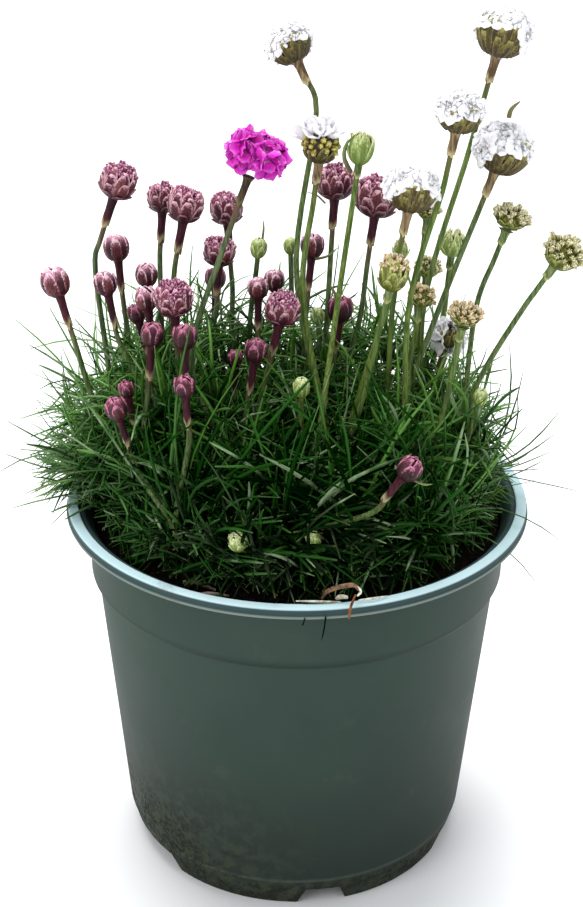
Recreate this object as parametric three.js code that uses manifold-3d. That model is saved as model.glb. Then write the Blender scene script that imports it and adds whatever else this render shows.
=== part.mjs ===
// Potted sea thrift: a plastic grow pot of compost with two thrift plants in it, one with
// pink flower heads and one with white ones. Millimetres, +Z up, the pot's front towards -Y.
// The origin is on the floor, in the middle under the pot.
import * as THREE from "three";
import { mergeVertices } from "three/addons/utils/BufferGeometryUtils.js";
import Module from "manifold-3d";

const wasm = await Module();
wasm.setup();

// Pot
const POT_SIDES = 36;
const POT_HEIGHT = 125;
const RIM_RADIUS = 75;
const RIM_TOP_WIDTH = 3.5;
const LIP_HEIGHT = 2.8;
const COLLAR_RADIUS = 68.2;
const COLLAR_FOOT = 100.4;
const WALL_TOP_RADIUS = 65.7;
const WALL_TOP = 99;
const SEAM_RADIUS = 57.9;
const SEAM_HEIGHT = 11.2;
const BEVEL_RADIUS = 56.8;
const FOOT_HEIGHT = 7.4;
const FOOT_RADIUS = 54.6;
const FOOT_WIDTH = 3;
const WALL = 1.6;
// Gaps between the feet: middle, anticlockwise from the front seen from above, and width, degrees
const FOOT_GAPS = [[9, 12], [69, 12], [126, 22], [189, 12], [249, 12], [303, 22]];
const DRAIN_RADIUS = 4;
const DRAIN_CIRCLE = 44;

// Compost
const GAP = 0.35;
const SOIL_TOP = 118;
const SOIL_LUMP = 1.2;

// Plants: each has one root, a woody mat over the compost, and rosettes of leaves on the mat
const PLANTS = {
  pink: {
    root: [-20, 6],
    mat: [[13, 0], [22, 26], [16, 43], [-3, 54], [-30, 43], [-49, 33], [-54, 2], [-44, -24],
      [-36, -46], [3, -50], [2, -41], [-9, -36], [-8, -9]],
  },
  white: {
    root: [28, -2],
    mat: [[16, -3], [28, 28], [32, 37], [41, 34], [44, 20], [56, 11], [50, -12], [40, -38],
      [16, -40], [-3, -31], [-3, -16], [5, -7]],
  },
};
const ROOT_RADIUS = 8.4;
const ROOT_DEPTH = 20;
const MAT_THICKNESS = 3.8;
const ROSETTES = 28;
const ROSETTE_SPREAD = 52;
const ROSETTE_TURN = 0.6;
const GOLDEN_ANGLE = Math.PI * (3 - Math.sqrt(5));
const HEART_RADIUS = 3.1;
const HEART_HEIGHT = 7;
const HEART_LEAN = THREE.MathUtils.degToRad(36);

// Leaves
const LEAF_LENGTH = 57;
const LEAF_HALF_WIDTH = 0.88;
const LEAF_DEPTH = 0.6;
const LEAF_ROOM = 0.9;
const LEAF_GAP = -0.2;
const PLANT_GAP = 0.7;
const BENT_LEAF = 0.5;
const LEAF_TRIES = 120;
const LEAF_SEED = 20;
const REACH_X = 90;
const REACH_Y = 76;
// Longest outer leaves, by their tips
const OUTER_TIPS = [
  [-95, -6, 137], [-94, 2, 129], [-89, -22, 124], [-90, 8, 146], [-82, 6, 166],
  [94, -4, 127], [89, -10, 138], [87, 12, 140], [86, -30, 121], [74, -52, 118], [80, 14, 160],
  [-30, 79, 140], [34, 77, 132],
];

// Flower stems and the sheath under each head
const STEM_RADIUS = 1.05;
const STEM_NECK_RADIUS = 0.85;
const SHEATH_RADIUS = 1.35;
const SHEATH_LENGTH = { pink: 10.5, magenta: 8, white: 7, green: 4 };
const STEM_JOINT = 0.4;
const STEMS_PER_HEART = 3;
const BIG_BUD = 9.8;

// Every flower: the middle of its head, the head's width, and where its stem comes out of the
// leaves, with a point in between where the stem bends
const PINK_BUDS = [
  { at: [-56, 12, 225], width: 12, low: [-62, 10, 173], bend: [-64, 11, 201] },
  { at: [-74, -8, 199], width: 9, low: [-64, -6, 158] },
  { at: [-58, 18, 201], width: 8, low: [-55, 16, 169] },
  { at: [-60, 2, 195], width: 7, low: [-56, 1, 174] },
  { at: [-44, 30, 214], width: 10, low: [-45, 22, 192] },
  { at: [-36, 20, 215], width: 12, low: [-40, 14, 193] },
  { at: [-24, 38, 208], width: 11, low: [-22, 33, 182] },
  { at: [-26, 28, 197], width: 10.5, low: [-27, 22, 178] },
  { at: [-28, 40, 183], width: 6.7, low: [-28, 34, 170] },
  { at: [-48, 10, 195], width: 7, low: [-47, 9, 177] },
  { at: [-38, -12, 196], width: 12, low: [-37, -9, 170] },
  { at: [-47, -3, 192], width: 7, low: [-45, -2, 172] },
  { at: [-51, 5, 184], width: 5.6, low: [-48, 5, 170] },
  { at: [-44, -20, 187], width: 7, low: [-47, -22, 155] },
  { at: [-34, -24, 188], width: 7.2, low: [-34, -24, 166] },
  { at: [-5, -10, 192], width: 11, low: [-15, -13, 148] },
  { at: [-13, 10, 191], width: 6.4, low: [-13, 9, 170] },
  { at: [-8, 20, 190], width: 6.4, low: [-7, 18, 170] },
  { at: [4, 22, 201], width: 7.5, low: [2, 18, 176] },
  { at: [11, 26, 221], width: 12, low: [9, 18, 178] },
  { at: [13, 9, 184.5], width: 8, low: [11, 8, 163] },
  { at: [24, 18, 219], width: 14.5, low: [19, 13, 178] },
  { at: [-13, -17, 181], width: 6.7, low: [-16, -16, 160] },
  { at: [-33, -42, 180], width: 6, low: [-32, -39, 160] },
  { at: [-54, -34, 169], width: 6.6, low: [-51, -31, 155] },
  { at: [-52, -24, 171], width: 4.4, low: [-50, -21, 157] },
  { at: [-20, -2, 172], width: 4.7, low: [-20, -1, 158] },
  { at: [32, -56, 161], width: 7, low: [22, -52, 144] },
];
const MAGENTA_BLOOMS = [
  { at: [-13, -8, 240], width: 21, low: [-33, -11, 173], bend: [-24, -10, 208] },
];
const WHITE_BLOOMS = [
  { at: [-4, 24, 265], width: 16, low: [-1, 8, 198], bend: [4, 18, 246] },
  { at: [6, 6, 239], width: 13, low: [1, -2, 196] },
  { at: [59, 10, 272], width: 19, low: [35, 10, 187], bend: [48, 7, 238] },
  { at: [46, -8, 253], width: 16, low: [31, -10, 195], bend: [45, -6, 230] },
  { at: [61, 6, 238], width: 20, low: [45, 0, 194] },
  { at: [33, -9, 230], width: 18, low: [28, -10, 200] },
  { at: [48, 14, 174], width: 13, low: [44, 12, 155] },
];
const GREEN_BUDS = [
  { at: [65, 10, 215], width: 11, low: [56, 7, 189] },
  { at: [79, -8, 210], width: 12, low: [54, -6, 161], bend: [69, -7, 193] },
  { at: [18, 4, 238], width: 8, low: [12, -5, 194] },
  { at: [41, 30, 211], width: 7, low: [38, 23, 186] },
  { at: [49, 26, 201], width: 8.4, low: [47, 26, 173] },
  { at: [50, -14, 192], width: 10, low: [44, -17, 159] },
  { at: [41, 20, 195], width: 7.4, low: [38, 16, 175] },
  { at: [28, -16, 206], width: 9.6, low: [16, -19, 153] },
  { at: [31, 4, 206], width: 4.4, low: [29, 3, 185] },
  { at: [38, 2, 192], width: 7.8, low: [35, 0, 170] },
];

// Small buds that are still as green as the leaves and one body with them
const YOUNG_BUDS = [
  { plant: "pink", at: [-13, 17, 202], width: 5.4, low: [-16, 21, 172] },
  { plant: "pink", at: [-3, 28, 199], width: 4.4, low: [-2, 24, 172] },
  { plant: "white", at: [1, -28, 174], width: 5.2, low: [1, -26, 158] },
  { plant: "white", at: [56, -16, 166], width: 4.6, low: [53, -13, 150] },
  { plant: "pink", at: [-17, -58, 138], width: 5.2, low: [-14, -54, 131] },
  { plant: "white", at: [8, -59, 138.5], width: 4.2, low: [11, -54, 131] },
  { plant: "pink", at: [6, 15, 180], width: 4.4, low: [7, 13, 168] },
];

// Random numbers that come out the same every time
function seeded(seed) {
  let state = seed;
  return () => {
    state = (state * 1664525 + 1013904223) % 4294967296;
    return state / 4294967296;
  };
}

const vector = (list) => new THREE.Vector3(list[0], list[1], list[2]);
const mix = (from, to, share) => from + (to - from) * share;

// One flower of a kind after another, each with a name that carries its number
const numbered = (name, kind, plant, list) => list.map((flower, index) => (
  { ...flower, kind, plant, name: `${name}_${String(index + 1).padStart(2, "0")}` }
));

// Solids in and out of the library that joins and cuts
function toSolid(geometry) {
  const bare = geometry.clone();
  bare.deleteAttribute("normal");
  bare.deleteAttribute("uv");
  const merged = mergeVertices(bare, 1e-4);
  return new wasm.Manifold(new wasm.Mesh({
    numProp: 3,
    vertProperties: new Float32Array(merged.attributes.position.array),
    triVerts: new Uint32Array(merged.index.array),
  }));
}

function toGeometry(solid) {
  const mesh = solid.getMesh();
  const geometry = new THREE.BufferGeometry();
  geometry.setAttribute("position", new THREE.BufferAttribute(mesh.vertProperties, 3));
  geometry.setIndex(new THREE.BufferAttribute(mesh.triVerts, 1));
  geometry.computeVertexNormals();
  return geometry;
}

const joined = (geometries) => toGeometry(wasm.Manifold.union(geometries.map(toSolid)));

// A closed skin made ring by ring. Rings run anticlockwise seen from the far end
class Skin {
  constructor() {
    this.values = [];
  }

  face(...points) {
    points.forEach((point) => this.values.push(point.x, point.y, point.z));
  }

  band(lower, upper) {
    lower.forEach((point, index) => {
      const next = (index + 1) % lower.length;
      this.face(point, lower[next], upper[next]);
      this.face(point, upper[next], upper[index]);
    });
  }

  fan(ring, tip, turned = false) {
    ring.forEach((point, index) => {
      const next = ring[(index + 1) % ring.length];
      if (turned) this.face(next, point, tip);
      else this.face(point, next, tip);
    });
  }

  // Rings joined one to the next, closed with a point at each end
  stack(rings, bottom, top) {
    this.fan(rings[0], bottom, true);
    for (let index = 1; index < rings.length; index += 1) this.band(rings[index - 1], rings[index]);
    this.fan(rings[rings.length - 1], top);
    return this;
  }

  geometry() {
    const shape = new THREE.BufferGeometry();
    shape.setAttribute("position", new THREE.Float32BufferAttribute(this.values, 3));
    shape.computeVertexNormals();
    return shape;
  }
}

// A level ring of points about Z, every second one pushed out and the others pulled in
function lobedRing(radius, height, count, relief = 0, first = 1) {
  return Array.from({ length: count }, (_, index) => {
    const angle = (2 * Math.PI * index) / count;
    const out = 1 + relief * (index % 2 ? -first : first);
    const lift = relief * radius * (index % 2 ? -first : first) * 0.6;
    return new THREE.Vector3(radius * out * Math.cos(angle), radius * out * Math.sin(angle), height + lift);
  });
}

// A solid turned about Z from [radius, height] points that start and end on the axis
function turned(outline, sides) {
  const points = outline.map(([radius, height]) => new THREE.Vector2(radius, height));
  return new THREE.LatheGeometry(points, sides).rotateX(Math.PI / 2);
}

// Pot: one wall with a rim, a collar, a floor with drain holes, and feet with gaps between
function growPot() {
  const collarInside = COLLAR_RADIUS - WALL;
  const outline = [
    [0, FOOT_HEIGHT],
    [FOOT_RADIUS - FOOT_WIDTH, FOOT_HEIGHT],
    [FOOT_RADIUS - FOOT_WIDTH, 0],
    [FOOT_RADIUS, 0],
    [BEVEL_RADIUS, FOOT_HEIGHT],
    [SEAM_RADIUS, SEAM_HEIGHT],
    [WALL_TOP_RADIUS, WALL_TOP],
    [COLLAR_RADIUS - 0.5, COLLAR_FOOT],
    [COLLAR_RADIUS, POT_HEIGHT - LIP_HEIGHT - 0.4],
    [RIM_RADIUS - 0.5, POT_HEIGHT - LIP_HEIGHT],
    [RIM_RADIUS, POT_HEIGHT - LIP_HEIGHT / 2],
    [RIM_RADIUS - 0.7, POT_HEIGHT],
    [RIM_RADIUS - RIM_TOP_WIDTH, POT_HEIGHT],
    [RIM_RADIUS - RIM_TOP_WIDTH - 2.4, POT_HEIGHT - 2],
    [collarInside, SOIL_TOP + 2],
    [collarInside - 0.5, COLLAR_FOOT],
    [WALL_TOP_RADIUS - WALL, WALL_TOP],
    [SEAM_RADIUS - WALL, SEAM_HEIGHT],
    [BEVEL_RADIUS - WALL, FOOT_HEIGHT + WALL],
    [0, FOOT_HEIGHT + WALL],
  ];
  let pot = toSolid(turned(outline, POT_SIDES));
  for (const [middle, width] of FOOT_GAPS) {
    const turn = THREE.MathUtils.degToRad(middle);
    const chord = 2 * FOOT_RADIUS * Math.sin(THREE.MathUtils.degToRad(width / 2));
    const cutter = new THREE.BoxGeometry(chord, 14, 12);
    cutter.translate(0, -FOOT_RADIUS, FOOT_HEIGHT - 6.01).rotateZ(turn);
    const drain = new THREE.CylinderGeometry(DRAIN_RADIUS, DRAIN_RADIUS, 12, 8).rotateX(Math.PI / 2);
    drain.translate(0, -DRAIN_CIRCLE, FOOT_HEIGHT).rotateZ(turn);
    pot = pot.subtract(toSolid(cutter)).subtract(toSolid(drain));
  }
  return toGeometry(pot);
}

// Compost: fills the pot with a lumpy top, and has a plain hole for each plant's root
function compost() {
  const wallInside = (height) => {
    const share = (height - SEAM_HEIGHT) / (WALL_TOP - SEAM_HEIGHT);
    return mix(SEAM_RADIUS, WALL_TOP_RADIUS, share) - WALL - GAP;
  };
  const collarInside = COLLAR_RADIUS - WALL - 0.5 - GAP;
  const outline = [
    [0, FOOT_HEIGHT + WALL + GAP],
    [wallInside(FOOT_HEIGHT + WALL + GAP) - 0.7, FOOT_HEIGHT + WALL + GAP],
    [wallInside(SEAM_HEIGHT), SEAM_HEIGHT + GAP],
    [wallInside(WALL_TOP), WALL_TOP + GAP],
    [collarInside, COLLAR_FOOT + 1],
    [collarInside, SOIL_TOP - 0.6],
    [58, SOIL_TOP],
    [40, SOIL_TOP],
    [20, SOIL_TOP],
    [0, SOIL_TOP],
  ];
  const shape = turned(outline, POT_SIDES);
  const position = shape.attributes.position;
  for (let index = 0; index < position.count; index += 1) {
    const [x, y] = [position.getX(index), position.getY(index)];
    const onTop = position.getZ(index) > SOIL_TOP - 0.1;
    const lump = Math.sin(x * 0.31 + 1) * Math.cos(y * 0.27) + Math.sin(x * 0.11 - y * 0.17);
    if (onTop) position.setZ(index, SOIL_TOP - SOIL_LUMP * (0.5 + 0.25 * lump));
  }
  let soil = toSolid(shape);
  for (const { root } of Object.values(PLANTS)) {
    const hole = new THREE.CylinderGeometry(ROOT_RADIUS + GAP, ROOT_RADIUS + GAP, ROOT_DEPTH + 10, 8);
    hole.rotateX(Math.PI / 2).translate(root[0], root[1], SOIL_TOP - ROOT_DEPTH / 2 + 5 - GAP);
    soil = soil.subtract(toSolid(hole));
  }
  return toGeometry(soil);
}

// Rosettes spread evenly over the compost. The heart of each is a tall leaning body of twenty
// faces, and a leaf grows out of each face that looks up or to the side
function rosettes() {
  const list = [];
  for (let index = 0; index < ROSETTES; index += 1) {
    const share = Math.sqrt((index + 0.5) / ROSETTES);
    const angle = index * GOLDEN_ANGLE + ROSETTE_TURN;
    const x = ROSETTE_SPREAD * share * Math.cos(angle);
    const y = ROSETTE_SPREAD * share * Math.sin(angle);
    const pink = x - 0.6 * y < 4 || (y < -38 && x < 16);
    const lean = HEART_LEAN * share;
    const axis = new THREE.Vector3(
      Math.sin(lean) * Math.cos(angle),
      Math.sin(lean) * Math.sin(angle),
      Math.cos(lean),
    );
    const middle = new THREE.Vector3(x, y, SOIL_TOP + 3).addScaledVector(axis, HEART_HEIGHT * 0.72);
    const home = { plant: pink ? "pink" : "white", middle, axis, stems: 0, spin: index, leaves: [] };
    list.push({ ...home, faces: heartFaces(home) });
  }
  return list;
}

// The heart's faces in its own place, the highest first, each with the way it looks
function heartFaces({ middle, axis, spin }) {
  const corner = new THREE.IcosahedronGeometry(1, 0).attributes.position;
  const upright = new THREE.Quaternion().setFromUnitVectors(
    new THREE.Vector3().fromBufferAttribute(corner, 0).normalize(),
    new THREE.Vector3(0, 0, 1),
  );
  const turn = new THREE.Quaternion().setFromUnitVectors(new THREE.Vector3(0, 0, 1), axis);
  const about = new THREE.Quaternion().setFromAxisAngle(new THREE.Vector3(0, 0, 1), spin);
  const faces = [];
  for (let index = 0; index < corner.count; index += 3) {
    const local = [0, 1, 2].map((step) => (
      new THREE.Vector3().fromBufferAttribute(corner, index + step)
        .applyQuaternion(upright).applyQuaternion(about)
    ));
    const look = local[0].clone().add(local[1]).add(local[2]).normalize();
    const corners = local.map((point) => (
      new THREE.Vector3(point.x * HEART_RADIUS, point.y * HEART_RADIUS, point.z * HEART_HEIGHT)
        .applyQuaternion(turn).add(middle)
    ));
    const root = corners[0].clone().add(corners[1]).add(corners[2]).divideScalar(3);
    faces.push({ corners, root, look, turn });
  }
  return faces.sort((one, other) => other.look.z - one.look.z);
}

// The room that is taken, as small balls in a grid of cells
class Crowd {
  constructor() {
    this.cell = 4;
    this.cells = new Map();
  }

  key(x, y, z) {
    return `${x},${y},${z}`;
  }

  add(point, radius, owner, plant) {
    const key = this.key(...[point.x, point.y, point.z].map((value) => Math.floor(value / this.cell)));
    if (!this.cells.has(key)) this.cells.set(key, []);
    this.cells.get(key).push({ point, radius, owner, plant });
  }

  // Whether a ball keeps its distance to everything that others own
  clear(point, radius, owner, plant, ownGap, otherGap) {
    const [cx, cy, cz] = [point.x, point.y, point.z].map((value) => Math.floor(value / this.cell));
    for (let x = cx - 1; x <= cx + 1; x += 1) {
      for (let y = cy - 1; y <= cy + 1; y += 1) {
        for (let z = cz - 1; z <= cz + 1; z += 1) {
          for (const ball of this.cells.get(this.key(x, y, z)) ?? []) {
            if (ball.owner === owner) continue;
            const gap = ball.plant === plant ? ownGap : otherGap;
            if (ball.point.distanceTo(point) < ball.radius + radius + gap) return false;
          }
        }
      }
    }
    return true;
  }
}

function along(curve, spacing) {
  return curve.getSpacedPoints(Math.max(2, Math.ceil(curve.getLength() / spacing)));
}

// The head's axis, where its sheath ends, and the stem's path up from a face of the nearest heart
function stemOf(flower, homes) {
  const head = vector(flower.at);
  const low = vector(flower.low);
  const axis = head.clone().sub(flower.bend ? vector(flower.bend) : low).normalize();
  const neckLength = flower.width * 0.42 + (SHEATH_LENGTH[flower.kind] ?? 0);
  const neck = head.clone().addScaledVector(axis, -neckLength);
  const foot = low.clone().addScaledVector(low.clone().sub(head).normalize(), (low.z - 126) * 0.8);
  const free = homes.filter((home) => home.plant === flower.plant && home.stems < STEMS_PER_HEART);
  free.sort((one, other) => one.middle.distanceTo(foot) - other.middle.distanceTo(foot));
  const home = free[0];
  home.stems += 1;
  const upper = home.faces.slice(0, 5).filter((face) => !face.curve);
  upper.sort((one, other) => one.root.distanceTo(low) - other.root.distanceTo(low));
  const face = upper[0];
  const points = [face.root, face.root.clone().addScaledVector(home.axis, 9)];
  for (const point of [flower.low, flower.bend]) {
    if (point && point[2] < neck.z - 9) points.push(vector(point));
  }
  points.push(neck.clone().addScaledVector(axis, -5), neck);
  face.curve = new THREE.CatmullRomCurve3(points, false, "centripetal");
  face.stem = true;
  return { head, axis, neck, path: face.curve };
}

// Rings of points round a curve, each with its half width across and half depth over
function ringsAlong(curve, shares, sides, halfWidth, halfDepth, facing) {
  return shares.map((share) => {
    const centre = curve.getPoint(share);
    const forward = curve.getTangent(share);
    const across = forward.clone().cross(facing).normalize();
    const over = across.clone().cross(forward);
    return Array.from({ length: sides }, (_, index) => {
      const angle = (2 * Math.PI * index) / sides;
      return centre.clone()
        .addScaledVector(across, Math.sin(angle) * halfWidth(share))
        .addScaledVector(over, Math.cos(angle) * halfDepth(share));
    });
  });
}

// A leaf: a slim needle, keeled below, that arches outwards to its point
function leafCurve(root, direction, tip) {
  const control = root.clone().addScaledVector(direction, root.distanceTo(tip) * 0.5);
  return new THREE.QuadraticBezierCurve3(root, control, tip);
}

// Grows rings out of a face of the heart: the first ring is turned to follow the face's corners
function growFrom(skin, face, rings) {
  const match = (shift) => face.corners.reduce((sum, corner, index) => (
    sum + corner.distanceTo(rings[0][(index + shift) % 3])
  ), 0);
  const shift = [0, 1, 2].sort((one, other) => match(one) - match(other))[0];
  const turnedRings = rings.map((ring) => [0, 1, 2].map((index) => ring[(index + shift) % 3]));
  [face.corners, ...turnedRings].forEach((ring, index, all) => {
    if (index) skin.band(all[index - 1], ring);
  });
  return turnedRings[turnedRings.length - 1];
}

function growLeaf(skin, face) {
  const { v0, v1, v2 } = face.curve;
  const bow = v1.clone().sub(v0).angleTo(v2.clone().sub(v1));
  const halfWidth = (share) => LEAF_HALF_WIDTH * (1.12 - 0.4 * share * share);
  const halfDepth = (share) => LEAF_DEPTH * (1.1 - 0.3 * share);
  const shares = bow > BENT_LEAF ? [0.22, 0.64] : [0.36];
  const rings = ringsAlong(face.curve, shares, 3, halfWidth, halfDepth, new THREE.Vector3(0.01, 0.02, 1));
  skin.fan(growFrom(skin, face, rings), v2);
}

function growStem(skin, face) {
  const steps = face.curve.getLength() > 75 ? 4 : 3;
  const shares = Array.from({ length: steps + 1 }, (_, index) => mix(0.09, 1, index / steps));
  const radius = (share) => mix(STEM_RADIUS, STEM_NECK_RADIUS, share);
  const rings = ringsAlong(face.curve, shares, 3, radius, radius, new THREE.Vector3(0, 1, 0));
  skin.face(...growFrom(skin, face, rings));
}

function rosetteSolid(home) {
  const skin = new Skin();
  home.faces.forEach((face) => {
    if (face.stem) growStem(skin, face);
    else if (face.curve) growLeaf(skin, face);
    else skin.face(...face.corners);
  });
  return skin.geometry();
}

// A leaf keeps off the pot, the compost and the limits of the plant's spread
function insidePot(point) {
  const radius = Math.hypot(point.x, point.y);
  if (radius < 63) return point.z > SOIL_TOP + 1.6;
  if (radius > RIM_RADIUS + 1.8) return point.z > 112;
  return point.z > POT_HEIGHT + 1.8;
}

function leafFits(curve, crowd, plant, owner) {
  for (const point of along(curve, 1.5)) {
    if (!insidePot(point)) return false;
    const nearRoot = point.distanceTo(curve.v0) < 7;
    if (!crowd.clear(point, LEAF_ROOM, owner, plant, nearRoot ? -9 : LEAF_GAP, PLANT_GAP)) return false;
  }
  return true;
}

// All leaves: the longest outer ones, then the rest one face of each rosette after another
function growLeaves(homes, crowd) {
  const random = seeded(LEAF_SEED);
  const keep = (curve, home, face, owner) => {
    if (!leafFits(curve, crowd, home.plant, owner)) return false;
    for (const point of along(curve, 1.5)) crowd.add(point, LEAF_ROOM, owner, home.plant);
    face.curve = curve;
    return true;
  };
  OUTER_TIPS.forEach((target, index) => {
    const tip = vector(target);
    const free = homes.flatMap((home) => home.faces.slice(5, 15).filter((face) => !face.curve)
      .map((face) => ({ home, face })));
    const far = ({ face }) => face.root.distanceTo(tip) - 8 * face.root.clone().sub(tip).normalize()
      .dot(face.look.clone().applyQuaternion(face.turn)) * -1;
    free.sort((one, other) => far(one) - far(other));
    free.slice(0, 12).some(({ home, face }) => {
      const level = new THREE.Vector3(tip.x - face.root.x, tip.y - face.root.y, 0).normalize();
      return [0.3, 0.5, 0.8].some((climb) => {
        const direction = level.clone().add(new THREE.Vector3(0, 0, climb)).normalize();
        return keep(leafCurve(face.root, direction, tip), home, face, `outer ${index}`);
      });
    });
  });
  for (let turn = 0; turn < 15; turn += 1) {
    homes.forEach((home, place) => {
      const face = home.faces[turn];
      for (let attempt = 0; attempt < LEAF_TRIES && !face.curve; attempt += 1) {
        const open = face.look.angleTo(new THREE.Vector3(0, 0, 1)) * 0.78;
        const spread = mix(0.25, 1.85, attempt / LEAF_TRIES);
        const polar = Math.max(open + (random() - 0.5) * spread, 0.05);
        const spin = Math.atan2(face.look.y, face.look.x) + (random() - 0.5) * spread * 1.6;
        const length = LEAF_LENGTH * (0.84 + 0.3 * random());
        const ray = (angle) => new THREE.Vector3(
          Math.sin(angle) * Math.cos(spin),
          Math.sin(angle) * Math.sin(spin),
          Math.cos(angle),
        ).applyQuaternion(face.turn);
        const tip = face.root.clone().addScaledVector(ray(polar + 0.1), length);
        tip.z -= length * 0.14 * Math.sin(polar);
        if (Math.abs(tip.x) > REACH_X || Math.abs(tip.y) > REACH_Y) continue;
        keep(leafCurve(face.root, ray(Math.max(polar - 0.3, 0)), tip), home, face, `leaf ${turn} ${place}`);
      }
    });
  }
}

// Heads. Each is made round its own middle with its stem below it along Z, then placed

// A closed bud: bracts overlap in tiers round it, and a sheath hangs down round its stem
function budHead({ kind, width }) {
  const half = width / 2;
  const drop = width * 0.42;
  const rings = [
    lobedRing(SHEATH_RADIUS * 0.85, -drop - SHEATH_LENGTH[kind] + STEM_JOINT, 8),
    lobedRing(SHEATH_RADIUS * 1.1, -drop, 8),
    lobedRing(half * 0.78, -half * 0.55, 8, 0.14),
    lobedRing(half * 1, half * 0.05, 8, 0.12, -1),
    lobedRing(half * 0.74, half * 0.68, 8, 0.16),
  ];
  const bottom = new THREE.Vector3(0, 0, rings[0][0].z);
  return new Skin().stack(rings, bottom, new THREE.Vector3(0, 0, half * 1.1)).geometry();
}

// A head of closed florets: a ball of knobs on a sheath
function knobHead({ kind, width }) {
  const half = width / 2;
  const ball = new THREE.IcosahedronGeometry(1, 2);
  const position = ball.attributes.position;
  const corner = new THREE.IcosahedronGeometry(1, 0).attributes.position;
  const pole = new THREE.Vector3().fromBufferAttribute(corner, 0).normalize();
  const upright = new THREE.Quaternion().setFromUnitVectors(pole, new THREE.Vector3(0, 0, -1));
  const knobs = [];
  for (let index = 0; index < corner.count; index += 3) {
    const face = [0, 1, 2].map((step) => new THREE.Vector3().fromBufferAttribute(corner, index + step));
    knobs.push(...face, face[0].clone().add(face[1]).add(face[2]).normalize());
  }
  const at = (index) => {
    const point = new THREE.Vector3().fromBufferAttribute(position, index);
    const raised = knobs.some((knob) => knob.distanceTo(point) < 0.05);
    return point.applyQuaternion(upright).multiplyScalar(half * (raised ? 1 : 0.86));
  };
  const skin = new Skin();
  const open = [];
  for (let index = 0; index < position.count; index += 3) {
    const face = [at(index), at(index + 1), at(index + 2)];
    const onPole = face.some((point) => Math.hypot(point.x, point.y) < 0.01 && point.z < 0);
    if (onPole) open.push(...face.filter((point) => Math.hypot(point.x, point.y) > 0.01));
    else skin.face(...face);
  }
  const rim = open.filter((point, index) => (
    open.findIndex((other) => other.distanceTo(point) < 0.01) === index
  ));
  rim.sort((one, other) => Math.atan2(one.y, one.x) - Math.atan2(other.y, other.x));
  const level = (radius, height) => rim.map((point) => (
    new THREE.Vector3(point.x, point.y, 0).setLength(radius).setZ(height)
  ));
  const upper = level(SHEATH_RADIUS * 1.1, -half * 0.98);
  const lower = level(SHEATH_RADIUS * 0.85, -width * 0.42 - SHEATH_LENGTH[kind] + STEM_JOINT);
  skin.band(upper, rim);
  skin.band(lower, upper);
  skin.fan(lower, new THREE.Vector3(0, 0, lower[0].z), true);
  return skin.geometry();
}

// Open florets with five petals each round the six upper corners of an icosahedron
const PETAL_FLOOR = -0.1;
function bloomPetals({ width }) {
  const radius = width / 2;
  const source = new THREE.IcosahedronGeometry(1, 0).attributes.position;
  const pole = new THREE.Vector3().fromBufferAttribute(source, 0).normalize();
  const upright = new THREE.Quaternion().setFromUnitVectors(pole, new THREE.Vector3(0, 0, 1));
  const corners = [];
  for (let index = 0; index < source.count; index += 1) {
    const point = new THREE.Vector3().fromBufferAttribute(source, index).applyQuaternion(upright);
    if (!corners.some((corner) => corner.distanceTo(point) < 0.01)) corners.push(point);
  }
  const between = (share, from, ...others) => {
    const middle = others.reduce((sum, other) => sum.add(other), from.clone()).normalize();
    return from.clone().lerp(middle, share).normalize();
  };
  const skin = new Skin();
  const edges = [];
  for (const corner of corners.filter((point) => point.z > 0)) {
    const near = corners.filter((other) => other !== corner && other.distanceTo(corner) < 1.2);
    const across = near[0].clone().addScaledVector(corner, -near[0].dot(corner)).normalize();
    const over = corner.clone().cross(across);
    const angle = (point) => Math.atan2(point.dot(over), point.dot(across));
    near.sort((one, other) => angle(one) - angle(other));
    const petals = [];
    const border = [];
    near.forEach((neighbour, index) => {
      const next = near[(index + 1) % near.length];
      petals.push(between(0.5, corner, neighbour).multiplyScalar(radius * 0.9));
      petals.push(between(0.84, corner, neighbour, next).multiplyScalar(radius));
      border.push(between(1, corner, neighbour).multiplyScalar(radius * 0.8));
      border.push(between(1, corner, neighbour, next).multiplyScalar(radius * 0.74));
    });
    skin.band(border, petals);
    skin.fan(petals, corner.clone().multiplyScalar(radius * 0.78));
    border.forEach((point, index) => edges.push([point, border[(index + 1) % border.length]]));
  }
  const shared = ([from, to]) => edges.some(([start, end]) => (
    start.distanceTo(to) < 0.01 && end.distanceTo(from) < 0.01
  ));
  const floor = new THREE.Vector3(0, 0, PETAL_FLOOR * width);
  for (const [from, to] of edges.filter((edge) => !shared(edge))) skin.face(to, from, floor);
  return skin.geometry();
}

// The cup of bracts under an open bloom, with its sheath
function bloomBase({ kind, width }) {
  const drop = width * 0.42;
  const rings = [
    lobedRing(SHEATH_RADIUS * 0.85, -drop - SHEATH_LENGTH[kind] + STEM_JOINT, 10),
    lobedRing(SHEATH_RADIUS * 1.2, -drop, 10),
    lobedRing(width * 0.33, -width * 0.3, 10, 0.1),
    lobedRing(width * 0.38, -width * 0.15, 10, 0.12, -1),
  ];
  const bottom = new THREE.Vector3(0, 0, rings[0][0].z);
  return new Skin().stack(rings, bottom, new THREE.Vector3(0, 0, PETAL_FLOOR * width - GAP)).geometry();
}

// Materials
const finish = (color, roughness) => new THREE.MeshStandardMaterial({ color, roughness, metalness: 0 });
const MATERIALS = {
  pot: finish(0x5c7570, 0.55),
  soil: finish(0x241a14, 0.95),
  leaf: finish(0x2f5a27, 0.6),
  pink: finish(0xa8506c, 0.65),
  magenta: finish(0xd22bc0, 0.6),
  white: finish(0xf2eef2, 0.7),
  calyx: finish(0x8a8450, 0.75),
  green: finish(0xb4bb70, 0.65),
  dry: finish(0x8a6440, 0.85),
};

const model = new THREE.Group();

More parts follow.
